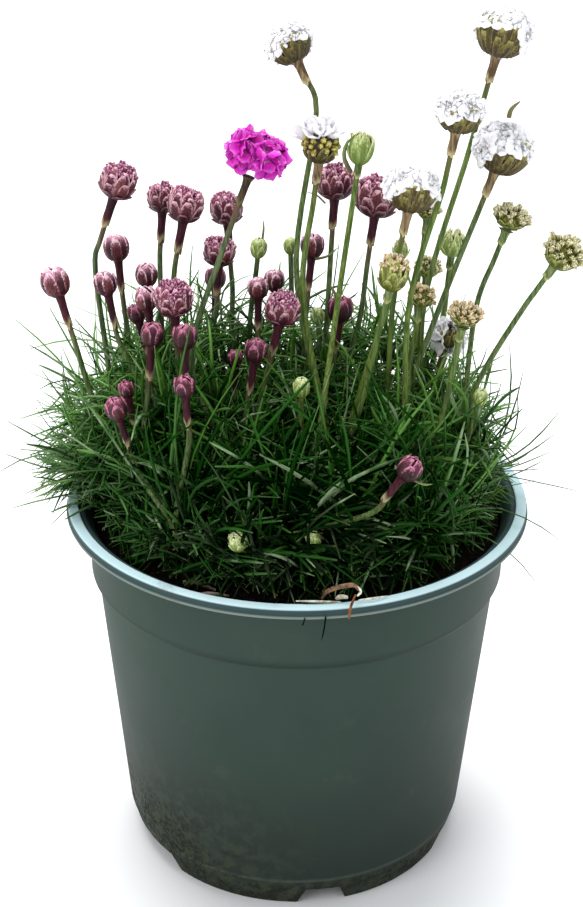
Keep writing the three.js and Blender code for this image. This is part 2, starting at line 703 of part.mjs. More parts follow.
function place(name, geometry, material, parent = model) {
  const mesh = new THREE.Mesh(geometry, material);
  mesh.name = name;
  parent.add(mesh);
  return mesh;
}

place("grow_pot", growPot(), MATERIALS.pot);
place("compost", compost(), MATERIALS.soil);

const homes = rosettes();
const crowd = new Crowd();
const green = { pink: [], white: [] };

// Root and mat of each plant
for (const [plant, { root, mat }] of Object.entries(PLANTS)) {
  const outline = new THREE.Shape(mat.map(([x, y]) => new THREE.Vector2(x, y)));
  const sheet = new THREE.ExtrudeGeometry(outline, { depth: MAT_THICKNESS, bevelEnabled: false });
  const taproot = new THREE.CylinderGeometry(ROOT_RADIUS, ROOT_RADIUS * 0.6, ROOT_DEPTH + 2, 8);
  taproot.rotateX(Math.PI / 2).translate(root[0], root[1], SOIL_TOP - ROOT_DEPTH / 2 + 1);
  green[plant].push(sheet.translate(0, 0, SOIL_TOP + GAP), taproot);
}
homes.forEach((home, place) => {
  const reach = home.axis.clone().multiplyScalar(HEART_HEIGHT * 0.7);
  const heart = new THREE.LineCurve3(home.middle.clone().sub(reach), home.middle.clone().add(reach));
  for (const point of along(heart, 1.5)) crowd.add(point, HEART_RADIUS, `heart ${place}`, home.plant);
});

// Heads first, then their stems, so that the leaves grow round them
function addHead(flower) {
  const stem = stemOf(flower, homes);
  const holder = new THREE.Group();
  holder.position.copy(stem.head);
  holder.quaternion.setFromUnitVectors(new THREE.Vector3(0, 0, 1), stem.axis);
  model.add(holder);
  if (flower.kind === "pink" || flower.kind === "green") {
    const head = flower.width > BIG_BUD ? knobHead(flower) : budHead(flower);
    place(flower.name, head, MATERIALS[flower.kind], holder);
  } else {
    place(`${flower.name}_petals`, bloomPetals(flower), MATERIALS[flower.kind], holder);
    place(`${flower.name}_base`, bloomBase(flower), MATERIALS.calyx, holder);
  }
  crowd.add(stem.head, flower.width / 2 + 0.2, flower.name, "head");
  for (const point of along(new THREE.LineCurve3(stem.neck, stem.head), 1.5)) {
    crowd.add(point, SHEATH_RADIUS + 0.3, flower.name, "head");
  }
  for (const point of along(stem.path, 1.5)) crowd.add(point, STEM_RADIUS + 0.2, flower.name, flower.plant);
}

function addYoungBud(bud) {
  const stem = stemOf(bud, homes);
  const half = bud.width / 2;
  const rings = [
    lobedRing(STEM_NECK_RADIUS, -half * 1.2, 6),
    lobedRing(half * 0.95, -half * 0.3, 6, 0.14),
    lobedRing(half * 0.7, half * 0.7, 6, 0.14, -1),
  ];
  const bottom = new THREE.Vector3(0, 0, -half * 1.2);
  const ball = new Skin().stack(rings, bottom, new THREE.Vector3(0, 0, half * 1.5)).geometry();
  ball.applyQuaternion(new THREE.Quaternion().setFromUnitVectors(new THREE.Vector3(0, 0, 1), stem.axis));
  green[bud.plant].push(ball.translate(stem.head.x, stem.head.y, stem.head.z));
  crowd.add(stem.head, bud.width * 0.6, "young bud", bud.plant);
  for (const point of along(stem.path, 1.5)) crowd.add(point, STEM_RADIUS + 0.2, "young bud", bud.plant);
}

const flowers = [
  ...numbered("pink_bud", "pink", "pink", PINK_BUDS),
  ...numbered("magenta_bloom", "magenta", "pink", MAGENTA_BLOOMS),
  ...numbered("white_bloom", "white", "white", WHITE_BLOOMS),
  ...numbered("green_bud", "green", "white", GREEN_BUDS),
];
flowers.forEach(addHead);
YOUNG_BUDS.forEach(addYoungBud);

// A withered leaf hooked over the front of the rim
const DRY_LEAF = [[12, -62, 127.6], [15, -70, 130.5], [17, -77.6, 127.5], [16, -78.2, 119]];
const dryCurve = new THREE.CatmullRomCurve3(DRY_LEAF.map(vector));
const dryRings = ringsAlong(
  dryCurve,
  [0, 0.25, 0.5, 0.75],
  3,
  (share) => 1.5 - share,
  (share) => 0.7 - 0.3 * share,
  new THREE.Vector3(-1, 0, 0),
);
const dryEnds = [dryCurve.getPoint(0), dryCurve.getPoint(1)];
place("dry_leaf", new Skin().stack(dryRings, ...dryEnds).geometry(), MATERIALS.dry);
for (const point of along(dryCurve, 1.5)) crowd.add(point, 1.8, "dry leaf", "dry");

growLeaves(homes, crowd);
for (const home of homes) green[home.plant].push(rosetteSolid(home));
place("pink_thrift_greens", joined(green.pink), MATERIALS.leaf);
place("white_thrift_greens", joined(green.white), MATERIALS.leaf);

export default model;
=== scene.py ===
# Potted sea thrift: a plastic grow pot of compost with a pink and a white thrift plant in it.
# The origin is on the floor under the middle of the pot, +Z is up and the front faces -Y.
# Shapes are worked out in millimetres and written to the meshes in metres.
import math
from dataclasses import dataclass

import bmesh
import bpy
import numpy as np
from mathutils import Matrix, Vector, noise


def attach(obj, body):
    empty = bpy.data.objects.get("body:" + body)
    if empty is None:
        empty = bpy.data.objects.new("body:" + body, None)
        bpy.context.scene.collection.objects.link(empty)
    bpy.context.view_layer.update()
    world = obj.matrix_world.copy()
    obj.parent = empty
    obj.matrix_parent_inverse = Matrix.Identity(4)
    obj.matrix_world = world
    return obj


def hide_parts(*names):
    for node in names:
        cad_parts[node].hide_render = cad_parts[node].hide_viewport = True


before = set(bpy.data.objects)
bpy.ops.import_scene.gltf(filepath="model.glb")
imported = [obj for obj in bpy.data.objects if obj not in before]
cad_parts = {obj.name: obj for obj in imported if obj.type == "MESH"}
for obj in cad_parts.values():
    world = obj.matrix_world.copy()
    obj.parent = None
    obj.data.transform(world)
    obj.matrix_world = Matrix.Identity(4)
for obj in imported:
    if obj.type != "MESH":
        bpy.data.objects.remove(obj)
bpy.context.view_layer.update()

MM = 0.001
UP = Vector((0, 0, 1))
GOLDEN_ANGLE = math.pi * (3 - math.sqrt(5))

# Seeds of the random draws
STEM_SEED = 7
OUTER_SEED = 8
LEAF_SEED = 20
CRUMB_SEED = 5
CRUMB_TREE_SEED = 4

# Camera
CAMERA_DISTANCE = 545
CAMERA_ELEVATION = math.radians(26.15)
CAMERA_ROLL = math.radians(0.51)
CAMERA_AIM = Vector((-1.95, 0, 138.4))
FOCAL_PIXELS = 1685
LONG_SIDE_PIXELS = 907
SENSOR = 36
# Half of the studio floor's width
FLOOR = 3000

# Pot
POT_SIDES = 144
POT_HEIGHT = 125
RIM_RADIUS = 75
RIM_INSIDE = 71.2
LIP_FOOT = 122.2
COLLAR_RADIUS = 68.2
COLLAR_FOOT = 100.4
WALL_TOP_RADIUS = 65.7
WALL_TOP = 99
SEAM_RADIUS = 57.9
SEAM_HEIGHT = 11.2
BEVEL_RADIUS = 56.8
FOOT_HEIGHT = 7.4
FOOT_RADIUS = 54.6
FOOT_WIDTH = 3
HUB_RADIUS = 0.6
WALL = 1.6
EDGE_RADIUS = 0.6
FOOT_GAPS = [(10, 12), (69, 12), (126, 22), (189, 12), (249, 12), (299, 30)]
GAP_FLARE = 2.4
DRAIN_RADIUS = 4
DRAIN_CIRCLE = 44
STAIN_TOP = 60
STAIN_FULL = 14

# Compost
GAP = 0.35
SOIL_TOP = 118
SOIL_RINGS = 30
SOIL_SIDES = 120
# Crumbs: the least space between them, the most of them in a square metre, and the lowest they lie
CRUMB_SPACING = 2.2
CRUMB_DENSITY = 400000.0
CRUMBS_ABOVE = 114

# Rosettes of leaves
ROSETTES = 28
ROSETTE_SPREAD = 52
ROSETTE_TURN = 0.6
HEART_HEIGHT = 7
HEART_LEAN = math.radians(36)
STEMS_PER_HEART = 3

# Small leafy side shoots on the compost near the rim: place and size
TUFTS = [
    ((-41, -34), 0.44), ((-27, -50), 0.5), ((-12, -55), 0.62), ((8, -56), 0.66), ((25, -49), 0.56),
    ((40, -37), 0.5), ((54, -18), 0.5), ((-55, -18), 0.6), ((57, 4), 0.6), ((-58, 6), 0.6),
    ((-61, -7), 0.65),
]
# Rosettes higher up the cushion, at its sides, in its middle and at its back: place and size
HIGH_ROSETTES = [
    ((-56, 2, 146), 0.56), ((-51, -10, 150), 0.5), ((-58, 14, 148), 0.56), ((-46, 18, 158), 0.56),
    ((-40, 2, 160), 0.5), ((-60, -14, 137), 0.5), ((-42, -14, 156), 0.46), ((-34, 30, 158), 0.56),
    ((-62, 4, 136), 0.5), ((42, 26, 152), 0.5), ((50, 8, 148), 0.46), ((20, 38, 156), 0.56),
    ((-12, 34, 162), 0.6), ((4, 28, 160), 0.6), ((32, 24, 162), 0.56), ((12, 14, 156), 0.56),
    ((-24, 22, 162), 0.56), ((-2, 8, 156), 0.5), ((24, 6, 154), 0.5), ((-65, 3, 128), 0.4),
    ((-63, -9, 126), 0.38),
]

# Broad-leaved rosettes that face forward, above the others at the front: place and size
FACING_ROSETTES = [
    ((-9, -34, 146.5), 0.52), ((-33, -36, 140), 0.42), ((10, -45, 138), 0.4), ((33, -26, 150), 0.46),
    ((-18, -57, 129), 0.4), ((-50, -18, 142), 0.42), ((1, -52, 133), 0.4), ((54, -12, 149), 0.42),
    ((-26, -12, 155), 0.5), ((38, -40, 133), 0.36), ((-40, -34, 137), 0.42), ((-46, -26, 142), 0.42),
    ((-32, -46, 131), 0.34),
]

# Leaves
LEAVES_PER_ROSETTE = 146
LEAVES_PER_TUFT = 30
LEAVES_PER_FACING = 34
LEAVES_PER_HIGH = 60
LEAF_LENGTH = 57
SHORTEST_LEAF = 15
LEAF_HALF_WIDTH = 0.46
BROAD_LEAF = 1.4
LEAF_POINTS = 8
LEAF_CURL = 0.12
LEAF_SWAY = 0.085
LEAF_DROOP = 0.14
LEAF_TRIES = 12
SHORT_LEAVES = 0.25
DRY_LEAVES = 0.006
# How far out from the pot's middle leaves go, on each side
REACH_X = 91
REACH_Y = 77
LEFT_REACH = 86
RIGHT_REACH = 69
CORNER_REACH = 65
FRONT_REACH = 68.5
# Inside this radius leaves may come down to the compost, and over the rim they may not
OPEN_RADIUS = 67
# Where the longest leaves end
OUTER_TIPS = [
    (-95, -8, 135), (-94, -2, 138), (-94, 4, 147), (-90, -18, 127), (-82, 6, 164), (-77, 14, 167),
    (-67, -6, 173), (-84, 0, 154), (-89, -4, 144), (-78, -26, 124), (-80, -14, 128), (-86, 10, 154),
    (68, 14, 171), (72, 8, 164), (70, 2, 159), (71, -4, 157), (84, 6, 151), (82, 0, 146), (76, -8, 146),
    (81, -4, 142), (78, -12, 143), (78, -14, 141), (75, -18, 139), (90, -10, 131), (82, -30, 124),
    (75, -34, 111), (-30, 79, 140), (34, 77, 132),
]

# The curled leaf on the rim, dry scraps, and dead leaves on the compost: line, half width and paleness
WITHERED_STRIPS = [
    (((7.6, -65, 123), (9, -67.5, 127), (13, -69, 129.6), (17, -70, 130.6), (18.2, -71, 129.6)), 0.8, 0.1),
    (((17.6, -70.4, 130.6), (18.6, -71.4, 129.4), (17.6, -71.8, 128.2)), 0.8, 1.0),
    (((17.2, -71.6, 128.6), (16, -73.6, 126.4), (15.5, -75.6, 125.4), (15.3, -76.2, 123)), 0.6, 0.0),
    (((11.6, -69, 125.4), (13, -70, 126.8), (15, -70.6, 127)), 0.9, 0.6),
    (((0, -70.6, 125.5), (4, -71.4, 126), (9, -71, 125.7), (13, -70.8, 125.5)), 0.45, 1.0),
    (((18, -70, 125.7), (22, -69.6, 126.1), (26.5, -67.4, 125.6)), 0.45, 1.0),
    (((-34, -50, 119.4), (-30, -53, 121), (-24, -55, 119.6)), 1.0, 0.3),
    (((-29, -57, 119.2), (-25.5, -58.5, 120.4), (-20, -58, 119.4)), 0.9, 0.4),
]
# Slender bracts beside the heads, and near-black strips of painted shadow under the rim: line, half width and
# paleness
SLENDER_BRACTS = [
    (((15.2, 4, 231), (13, 2.6, 236), (13.6, 3, 240), (16.4, 3, 243)), 0.8, 0.5),
    (((62.6, 12, 246), (63.2, 12, 248.6), (65.8, 12, 251.2)), 0.85, 0.9),
    (((8, 25, 214.5), (5, 25, 217.3), (2, 25, 218.2)), 0.35, 0.8),
    (((5, 19, 198), (9, 18, 199.5), (12.2, 18, 202.4)), 0.5, 0.6),
    (((-11.8, 17, 205), (-11.4, 17, 208.6), (-11.5, 17, 211.4)), 0.45, 0.5),
    (((12.4, 9, 188), (10.8, 9, 191), (9.7, 9, 193)), 0.6, 0.7),
    (((33, -56, 158), (36.5, -56.5, 156.6), (39, -57, 157)), 0.4, 0.6),
    # Painted shadow: two near-black strips hanging down the wall under the front of the rim.
    (((8.6, -75.2, 123), (8.2, -72.6, 117), (7.6, -69.6, 111.5)), 0.55, 0.0),
    (((2.6, -75.4, 122.6), (2.2, -73.4, 119.6), (1.8, -71, 117.5)), 0.35, 0.0),
]

# Flower stems and the sheath under each head
STEM_RADIUS = 0.95
STEM_NECK_RADIUS = 0.82
STEM_POINTS = 30
RUDDY_NECK = {"pink": 0.8, "magenta": 1.0, "white": 0.5}
SHEATH_LENGTH = {"pink": 10.5, "magenta": 8, "white": 7, "green": 4}
BRACT_THICKNESS = 0.22
# A pink bud wider than this shows its florets, and one lower than this is in shade
BIG_BUD = 9.8
SHADED_BELOW = 190
# Start, end and count of the calyx strips in each tier of a bloom's closed side
CALYX_TIERS = ((0.4, 0.72, 13), (0.28, 0.64, 13), (0.16, 0.52, 11))

# Every flower: its head's middle and width, where its stem leaves the foliage, and its bend if it has one
PINK_BUDS = [
    ((-56, 12, 225), 12, (-62, 10, 173), (-64, 11, 201)),
    ((-74, -8, 199), 9, (-64, -6, 158)),
    ((-58, 18, 201), 8, (-55, 16, 169)),
    ((-60, 2, 195), 7, (-56, 1, 174)),
    ((-44, 30, 214), 10, (-45, 22, 192)),
    ((-36, 20, 215), 12, (-40, 14, 193)),
    ((-24, 38, 208), 11, (-22, 33, 182)),
    ((-26, 28, 197), 10.5, (-27, 22, 178)),
    ((-28, 40, 183), 6.7, (-28, 34, 170)),
    ((-48, 10, 195), 7, (-47, 9, 177)),
    ((-38, -12, 196), 12, (-37, -9, 170)),
    ((-47, -3, 192), 7, (-45, -2, 172)),
    ((-51, 5, 184), 5.6, (-48, 5, 170)),
    ((-44, -20, 187), 7, (-47, -22, 155)),
    ((-34, -24, 188), 7.2, (-34, -24, 166)),
    ((-5, -10, 192), 11, (-15, -13, 148)),
    ((-13, 10, 191), 6.4, (-13, 9, 170)),
    ((-8, 20, 190), 6.4, (-7, 18, 170)),
    ((4, 22, 201), 7.5, (2, 18, 176)),
    ((11, 26, 221), 12, (9, 18, 178)),
    ((13, 9, 184.5), 8, (11, 8, 163)),
    ((24, 18, 219), 14.5, (19, 13, 178)),
    ((-13, -17, 181), 6.7, (-16, -16, 160)),
    ((-33, -42, 180), 6, (-32, -39, 160)),
    ((-54, -34, 169), 6.6, (-51, -31, 155)),
    ((-52, -24, 171), 4.4, (-50, -21, 157)),
    ((-20, -2, 172), 4.7, (-20, -1, 158)),
    ((32, -56, 161), 7, (22, -52, 144)),
]
MAGENTA_BLOOMS = [((-13, -8, 240), 21, (-33, -11, 173), (-24, -10, 208))]
WHITE_BLOOMS = [
    ((-4, 24, 265), 16, (-1, 8, 198), (6, 18, 246)),
    ((6, 6, 239), 13, (1, -2, 196)),
    ((59, 10, 272), 19, (39.5, 10, 187), (50.5, 9, 235)),
    ((46, -8, 253), 16, (33.5, -10, 195), (42.3, -7, 230)),
    ((61, 6, 238), 20, (45, 0, 194)),
    ((33, -9, 230), 18, (28, -10, 200)),
    ((48, 14, 174), 13, (44, 12, 155)),
]
GREEN_BUDS = [
    ((65, 10, 215), 11, (56, 7, 189)),
    ((79, -8, 210), 12, (54, -6, 161), (69, -7, 193)),
    ((18, 4, 238), 8, (12, -5, 194)),
    ((41, 30, 211), 7, (38, 23, 186)),
    ((49, 26, 201), 8.4, (47, 26, 173)),
    ((50, -14, 192), 10, (44, -17, 159)),
    ((41, 20, 195), 7.4, (38, 16, 175)),
    ((28, -16, 206), 9.6, (16, -19, 153)),
    ((31, 4, 206), 4.4, (29, 3, 185)),
    ((38, 2, 192), 7.8, (35, 0, 170)),
]
# The closed side of each bloom, and how near to it the open florets come: 1 is on it, -1 opposite
CLOSED_SIDES = {
    "white_bloom_01": ((0.45, -0.55, -0.7), 0.06),
    "white_bloom_02": ((0.0, -0.35, -0.94), -0.5),
    "white_bloom_03": ((-0.5, -0.55, -0.67), 0.08),
    "white_bloom_04": ((0.1, -0.45, -0.89), 0.16),
    "white_bloom_05": ((0.15, -0.55, -0.82), 0.16),
    "white_bloom_06": ((0.1, -0.55, -0.83), 0.1),
    "white_bloom_07": ((0.1, -0.9, 0.1), 0.55),
    "magenta_bloom_01": ((0.0, 0.0, -1.0), 1.0),
}
# Small green buds among the leaves, each with its plant
YOUNG_BUDS = [
    ("pink", (-13, 17, 202), 5.4, (-16, 21, 172)),
    ("pink", (-3, 28, 199), 4.4, (-2, 24, 172)),
    ("white", (1, -28, 174), 5.2, (1, -26, 158)),
    ("white", (56, -16, 166), 4.6, (53, -13, 150)),
    ("pink", (-17, -58.5, 138), 6, (-14, -54, 131)),
    ("white", (5, -57, 138.5), 4.4, (9, -54, 131)),
    ("pink", (6, 15, 180), 4.4, (7, 13, 168)),
]


def seeded(seed):
    """Random numbers from 0 to 1 that come out the same every time."""
    state = seed

    def draw(low=0.0, high=1.0):
        nonlocal state
        state = (state * 1664525 + 1013904223) % 4294967296
        return low + (high - low) * state / 4294967296

    return draw


def mix(start, end, share):
    return start + (end - start) * share


def clamped(value):
    return min(1.0, max(0.0, value))


def tone(red, green, blue):
    """A colour as a screen shows it, from 0 to 255, as the linear values that shaders use."""
    parts = [value / 255 for value in (red, green, blue)]
    linear = [part / 12.92 if part <= 0.04045 else ((part + 0.055) / 1.055) ** 2.4 for part in parts]
    return (*linear, 1.0)


def show(name, mesh):
    """A new object with that mesh, in the scene."""
    made = bpy.data.objects.new(name, mesh)
    bpy.context.scene.collection.objects.link(made)
    return made


def add_camera():
    """In front of the pot, looking down on it."""
    level = CAMERA_DISTANCE * math.cos(CAMERA_ELEVATION)
    rise = CAMERA_DISTANCE * math.sin(CAMERA_ELEVATION)
    place = Vector((0, -level, CAMERA_AIM.z + rise))
    forward = (CAMERA_AIM - place).normalized()
    right = forward.cross(UP).normalized()
    above = right.cross(forward)
    turned_right = right * math.cos(CAMERA_ROLL) + above * math.sin(CAMERA_ROLL)
    turned_above = above * math.cos(CAMERA_ROLL) - right * math.sin(CAMERA_ROLL)
    axes = Matrix((turned_right, turned_above, -forward)).transposed()
    data = bpy.data.cameras.new("camera")
    data.sensor_width = SENSOR
    data.lens = SENSOR * FOCAL_PIXELS / LONG_SIDE_PIXELS
    data.clip_start = 0.01
    camera = show("camera", data)
    camera.matrix_world = Matrix.Translation(place * MM) @ axes.to_4x4()
    bpy.context.scene.camera = camera


add_camera()


# Node trees


class Tree:
    """Short calls for building a node tree."""

    def __init__(self, tree):
        self.tree = tree

    def feed(self, socket, value):
        if isinstance(value, bpy.types.NodeSocket):
            self.tree.links.new(value, socket)
        else:
            socket.default_value = value

    def add(self, kind, inputs=None, **settings):
        node = self.tree.nodes.new(kind)
        for name, value in settings.items():
            setattr(node, name, value)
        for key, value in (inputs or {}).items():
            self.feed(node.inputs[key], value)
        return node

    def result(self, kind, inputs=None, **settings):
        """The first output of a new node."""
        return self.add(kind, inputs, **settings).outputs[0]

    def math(self, operation, first, second=0.0):
        return self.result("ShaderNodeMath", {0: first, 1: second}, operation=operation)


class Finish(Tree):
    """A material whose colour, gloss and relief come from nodes.

    Its colours are given as a screen shows them, from 0 to 255.
    """

    def __init__(self, name, roughness=0.5, specular=0.4):
        self.made = bpy.data.materials.new(name)
        self.made.use_nodes = True
        super().__init__(self.made.node_tree)
        self.shader = self.tree.nodes["Principled BSDF"]
        self.shader.inputs["Roughness"].default_value = roughness
        self.shader.inputs["Specular IOR Level"].default_value = specular

    def place(self):
        return self.add("ShaderNodeTexCoord").outputs["Object"]

    def noise(self, scale, detail=3.0, roughness=0.55, vector=None):
        inputs = {"Vector": vector or self.place(), "Scale": scale, "Detail": detail}
        return self.add("ShaderNodeTexNoise", {**inputs, "Roughness": roughness}).outputs["Fac"]

    def streaks(self, scale, detail, roughness, stretch):
        """Noise drawn out upwards. Stretch is its scale up against across."""
        upright = self.add("ShaderNodeMapping", {"Vector": self.place(), "Scale": (1, 1, stretch)})
        return self.noise(scale, detail, roughness, upright.outputs[0])

    def value(self, name):
        return self.add("ShaderNodeAttribute", attribute_name=name).outputs["Fac"]

    def span(self, value, low, high, start=0.0, end=1.0):
        """A smooth step from start to end, while the value goes from low to high."""
        inputs = {"Value": value, "From Min": low, "From Max": high, "To Min": start, "To Max": end}
        return self.add("ShaderNodeMapRange", inputs, interpolation_type="SMOOTHSTEP").outputs[0]

    def times(self, first, second):
        return self.math("MULTIPLY", first, second)

    def blend(self, share, first, second):
        node = self.add("ShaderNodeMix", data_type="RGBA")
        for index, value in ((0, share), (6, first), (7, second)):
            self.feed(node.inputs[index], tone(*value) if isinstance(value, tuple) else value)
        return node.outputs[2]

    def color(self, value):
        self.feed(self.shader.inputs["Base Color"], value)

    def rough(self, value):
        self.feed(self.shader.inputs["Roughness"], value)

    def relief(self, height, strength, distance):
        bump = self.add("ShaderNodeBump", {"Height": height, "Strength": strength, "Distance": distance * MM})
        self.feed(self.shader.inputs["Normal"], bump.outputs[0])


def pot_finish():
    """Green plastic, darker towards the bottom in painted shade, with a painted shadow under the collar,
    painted highlights on the seam and round the lip, a top to its rim that is pale from painted light and
    wear, and soil and algae low down, most of it on the left.
    """
    made = Finish("moulded plastic", 0.6, 0.12)
    place = made.add("ShaderNodeVectorMath", {0: made.place(), "Scale": 1 / MM}, operation="SCALE")
    x, y, height = made.add("ShaderNodeSeparateXYZ", {0: place.outputs[0]}).outputs
    level = made.add("ShaderNodeCombineXYZ", {"X": x, "Y": y}).outputs[0]
    radius = made.add("ShaderNodeVectorMath", {0: level}, operation="LENGTH").outputs["Value"]
    cloudy = made.noise(28, 4)
    wall = made.blend(made.span(cloudy, 0.35, 0.7), (43, 59, 52), (50, 66, 58))
    # Painted shade: the wall darkens towards the bottom.
    wall = made.blend(made.span(height, WALL_TOP + 1, 0), wall, (36, 47, 42))
    # Painted shadow: the groove under the collar's step is darkened.
    under_collar = made.span(height, WALL_TOP - 0.8, WALL_TOP + 0.8)
    collar_shadow = made.times(under_collar, made.span(height, COLLAR_FOOT + 2.6, COLLAR_FOOT + 0.2))
    wall = made.blend(made.times(collar_shadow, 0.75), wall, (29, 41, 36))
    # Painted highlight: a pale line along the mould seam.
    under_seam = made.span(height, SEAM_HEIGHT - 1, SEAM_HEIGHT)
    seam_highlight = made.times(under_seam, made.span(height, SEAM_HEIGHT + 1.4, SEAM_HEIGHT + 0.2))
    wall = made.blend(made.times(seam_highlight, 0.35), wall, (96, 106, 96))
    wall = made.blend(made.span(height, LIP_FOOT - 0.1, LIP_FOOT + 0.7), wall, (49, 68, 68))
    # Painted light and wear: the top of the rim is pale.
    wall = made.blend(made.span(height, POT_HEIGHT - 0.6, POT_HEIGHT - 0.1), wall, (178, 204, 208))
    # Painted highlight: a thin pale line round the lower outer edge of the lip.
    edge = made.span(radius, RIM_RADIUS - 0.8, RIM_RADIUS - 0.2)
    bead = made.times(edge, made.span(height, LIP_FOOT + 0.7, LIP_FOOT + 0.3))
    wall = made.blend(bead, wall, (112, 124, 118))
    low = made.span(height, STAIN_TOP, STAIN_FULL)
    left = made.span(x, 20, -40, 0.06, 1.0)
    patchy = made.span(made.noise(70, 6, 0.75), 0.32, 0.5)
    specks = made.span(made.noise(800, 5, 0.75), 0.36, 0.58)
    film = made.times(made.times(low, left), patchy)
    foot = made.times(made.span(height, STAIN_FULL, FOOT_HEIGHT - 0.4), made.span(patchy, 0.0, 1.0, 0.5, 1.0))
    film = made.math("MAXIMUM", film, foot)
    stain = made.times(film, made.span(specks, 0.0, 1.0, 0.45, 1.0))
    algae = made.blend(made.span(made.noise(260, 4), 0.45, 0.62), (33, 37, 28), (52, 58, 42))
    soiled = made.blend(stain, wall, algae)
    scuffs = made.span(made.noise(60, 5, 0.7), 0.6, 0.72, 0, 0.3)
    made.color(made.blend(scuffs, soiled, (74, 72, 66)))
    made.rough(made.math("MAXIMUM", made.span(cloudy, 0.3, 0.7, 0.5, 0.62), stain))
    made.relief(made.noise(900, 2), 0.12, 0.25)
    return made.made


def soil_finish():
    """Near-black crumbs with a few brown fibres."""
    made = Finish("compost", 0.95, 0.15)
    crumbs = made.noise(300, 6, 0.7)
    earth = made.blend(made.span(crumbs, 0.35, 0.65), (6, 4, 3), (32, 21, 15))
    fibres = made.span(made.noise(1100, 2), 0.68, 0.74)
    made.color(made.blend(fibres, earth, (84, 54, 40)))
    made.relief(crumbs, 0.8, 1.5)
    return made.made


def leaf_finish():
    """Deep to light green by each leaf's shade, a random tone with painted light, with painted pale glints,
    painted shade at the root and a straw-coloured tip.
    """
    made = Finish("thrift leaf", 0.42)
    shade = made.value("shade")
    along = made.value("along")
    deep = made.blend(made.span(shade, 0.0, 0.35), (0, 15, 2), (30, 78, 18))
    green = made.blend(made.span(shade, 0.35, 1.0), deep, (88, 140, 46))
    glints = made.times(made.value("pale"), made.span(made.noise(110, 2), 0.4, 0.6, 0.15, 1.0))
    green = made.blend(glints, green, (134, 158, 118))
    # Painted shade: each leaf darkens towards its root, deep in the cushion.
    shaded_root = made.blend(made.span(along, 0.6, 0.05, 0, 0.85), green, (3, 12, 2))
    tipped = made.blend(made.span(along, 0.96, 1.0, 0, 0.3), shaded_root, (112, 116, 78))
    made.color(made.blend(made.value("dry"), tipped, (120, 108, 66)))
    made.feed(made.shader.inputs["Specular IOR Level"], made.span(shade, 0.1, 0.9, 0.0, 0.4))
    made.relief(made.noise(2600, 2), 0.15, 0.15)
    return made.made


def stem_finish():
    """Streaky green, warmer on some stems, and ruddy under some heads."""
    made = Finish("flower stem", 0.5, 0.25)
    streaks = made.streaks(1500, 2, 0.6, 0.03)
    dark = made.blend(made.value("warm"), (38, 66, 27), (63, 88, 22))
    light = made.blend(made.value("warm"), (94, 110, 70), (108, 128, 54))
    green = made.blend(made.span(streaks, 0.35, 0.65), dark, light)
    top = made.times(made.span(made.value("along"), 0.62, 1.0), made.value("ruddy"))
    made.color(made.blend(top, green, (92, 58, 50)))
    made.relief(streaks, 0.3, 0.2)
    return made.made


def sheath_finish(name, dark, light, hem):
    """Dry, streaky paper with a paler hem."""
    made = Finish(name, 0.7, 0.25)
    streaks = made.streaks(900, 3, 0.6, 0.1)
    body = made.blend(made.span(streaks, 0.4, 0.62), dark, light)
    made.color(made.blend(made.span(made.value("along"), 0.72, 1.0), body, hem))
    made.relief(streaks, 0.5, 0.25)
    return made.made


def bract_finish(name, hollow, body, ridge, top, tan=None):
    """Bracts that are dark in their hollows and, in painted shade, low down where they overlap, and pale on
    their ridges and higher up.
    """
    made = Finish(name, 0.55, 0.3)
    mottle = made.noise(1500, 3)
    streaks = made.streaks(2600, 2, 0.5, 0.12)
    edge = made.math("ADD", made.value("edge"), made.span(mottle, 0.3, 0.7, -0.2, 0.2))
    along = made.value("along")
    flesh = made.blend(made.span(edge, 0.1, 0.55), hollow, body)
    flesh = made.blend(made.times(made.value("mood"), 0.5), flesh, tan or body)
    flesh = made.blend(made.span(along, 0.55, 1.0), flesh, top)
    flesh = made.blend(made.span(streaks, 0.46, 0.6, 0.0, 0.7), flesh, hollow)
    rim = made.times(made.span(edge, 0.45, 0.95), made.span(along, 0.1, 0.7, 0.15, 0.9))
    edged = made.blend(rim, flesh, ridge)
    # Painted shade: darker low down on a bud and at each floret's foot, where they overlap.
    made.color(made.blend(made.span(along, 0.5, 0.06), edged, hollow))
    made.relief(mottle, 0.3, 0.15)
    return made.made


def petal_finish(name, heart, body, rim, deep, glow):
    """Veined petals that let light through. Glow is how far it spreads in them."""
    made = Finish(name, 0.6, 0.2)
    veins = made.noise(1300, 3, 0.6)
    along = made.value("along")
    flesh = made.blend(made.span(along, 0.1, 0.34), heart, body)
    flesh = made.blend(made.span(along, 0.6, 1.0, 0, 0.8), flesh, rim)
    shaded = made.math("ADD", made.times(made.span(veins, 0.45, 0.7), 0.5), made.value("mood"))
    made.color(made.blend(made.times(shaded, 0.4), flesh, deep))
    made.shader.inputs["Subsurface Weight"].default_value = 0.9
    made.shader.inputs["Subsurface Radius"].default_value = (1.0, 1.0, 1.0)
    made.shader.inputs["Subsurface Scale"].default_value = glow * MM
    made.relief(veins, 0.15, 0.2)
    return made.made


def withered_finish():
    """Blotched brown, or straw where the leaf is pale."""
    made = Finish("withered leaf", 0.85, 0.2)
    blotches = made.noise(500, 4, 0.65)
    brown = made.blend(made.span(blotches, 0.35, 0.65), (40, 26, 16), (150, 92, 44))
    straw = made.blend(made.span(blotches, 0.3, 0.6), (150, 138, 110), (226, 228, 212))
    made.color(made.blend(made.value("pale"), brown, straw))
    made.relief(blotches, 0.6, 0.4)
    return made.made


PLASTIC = pot_finish()
SOIL = soil_finish()
LEAF = leaf_finish()
STEM = stem_finish()
WITHERED = withered_finish()
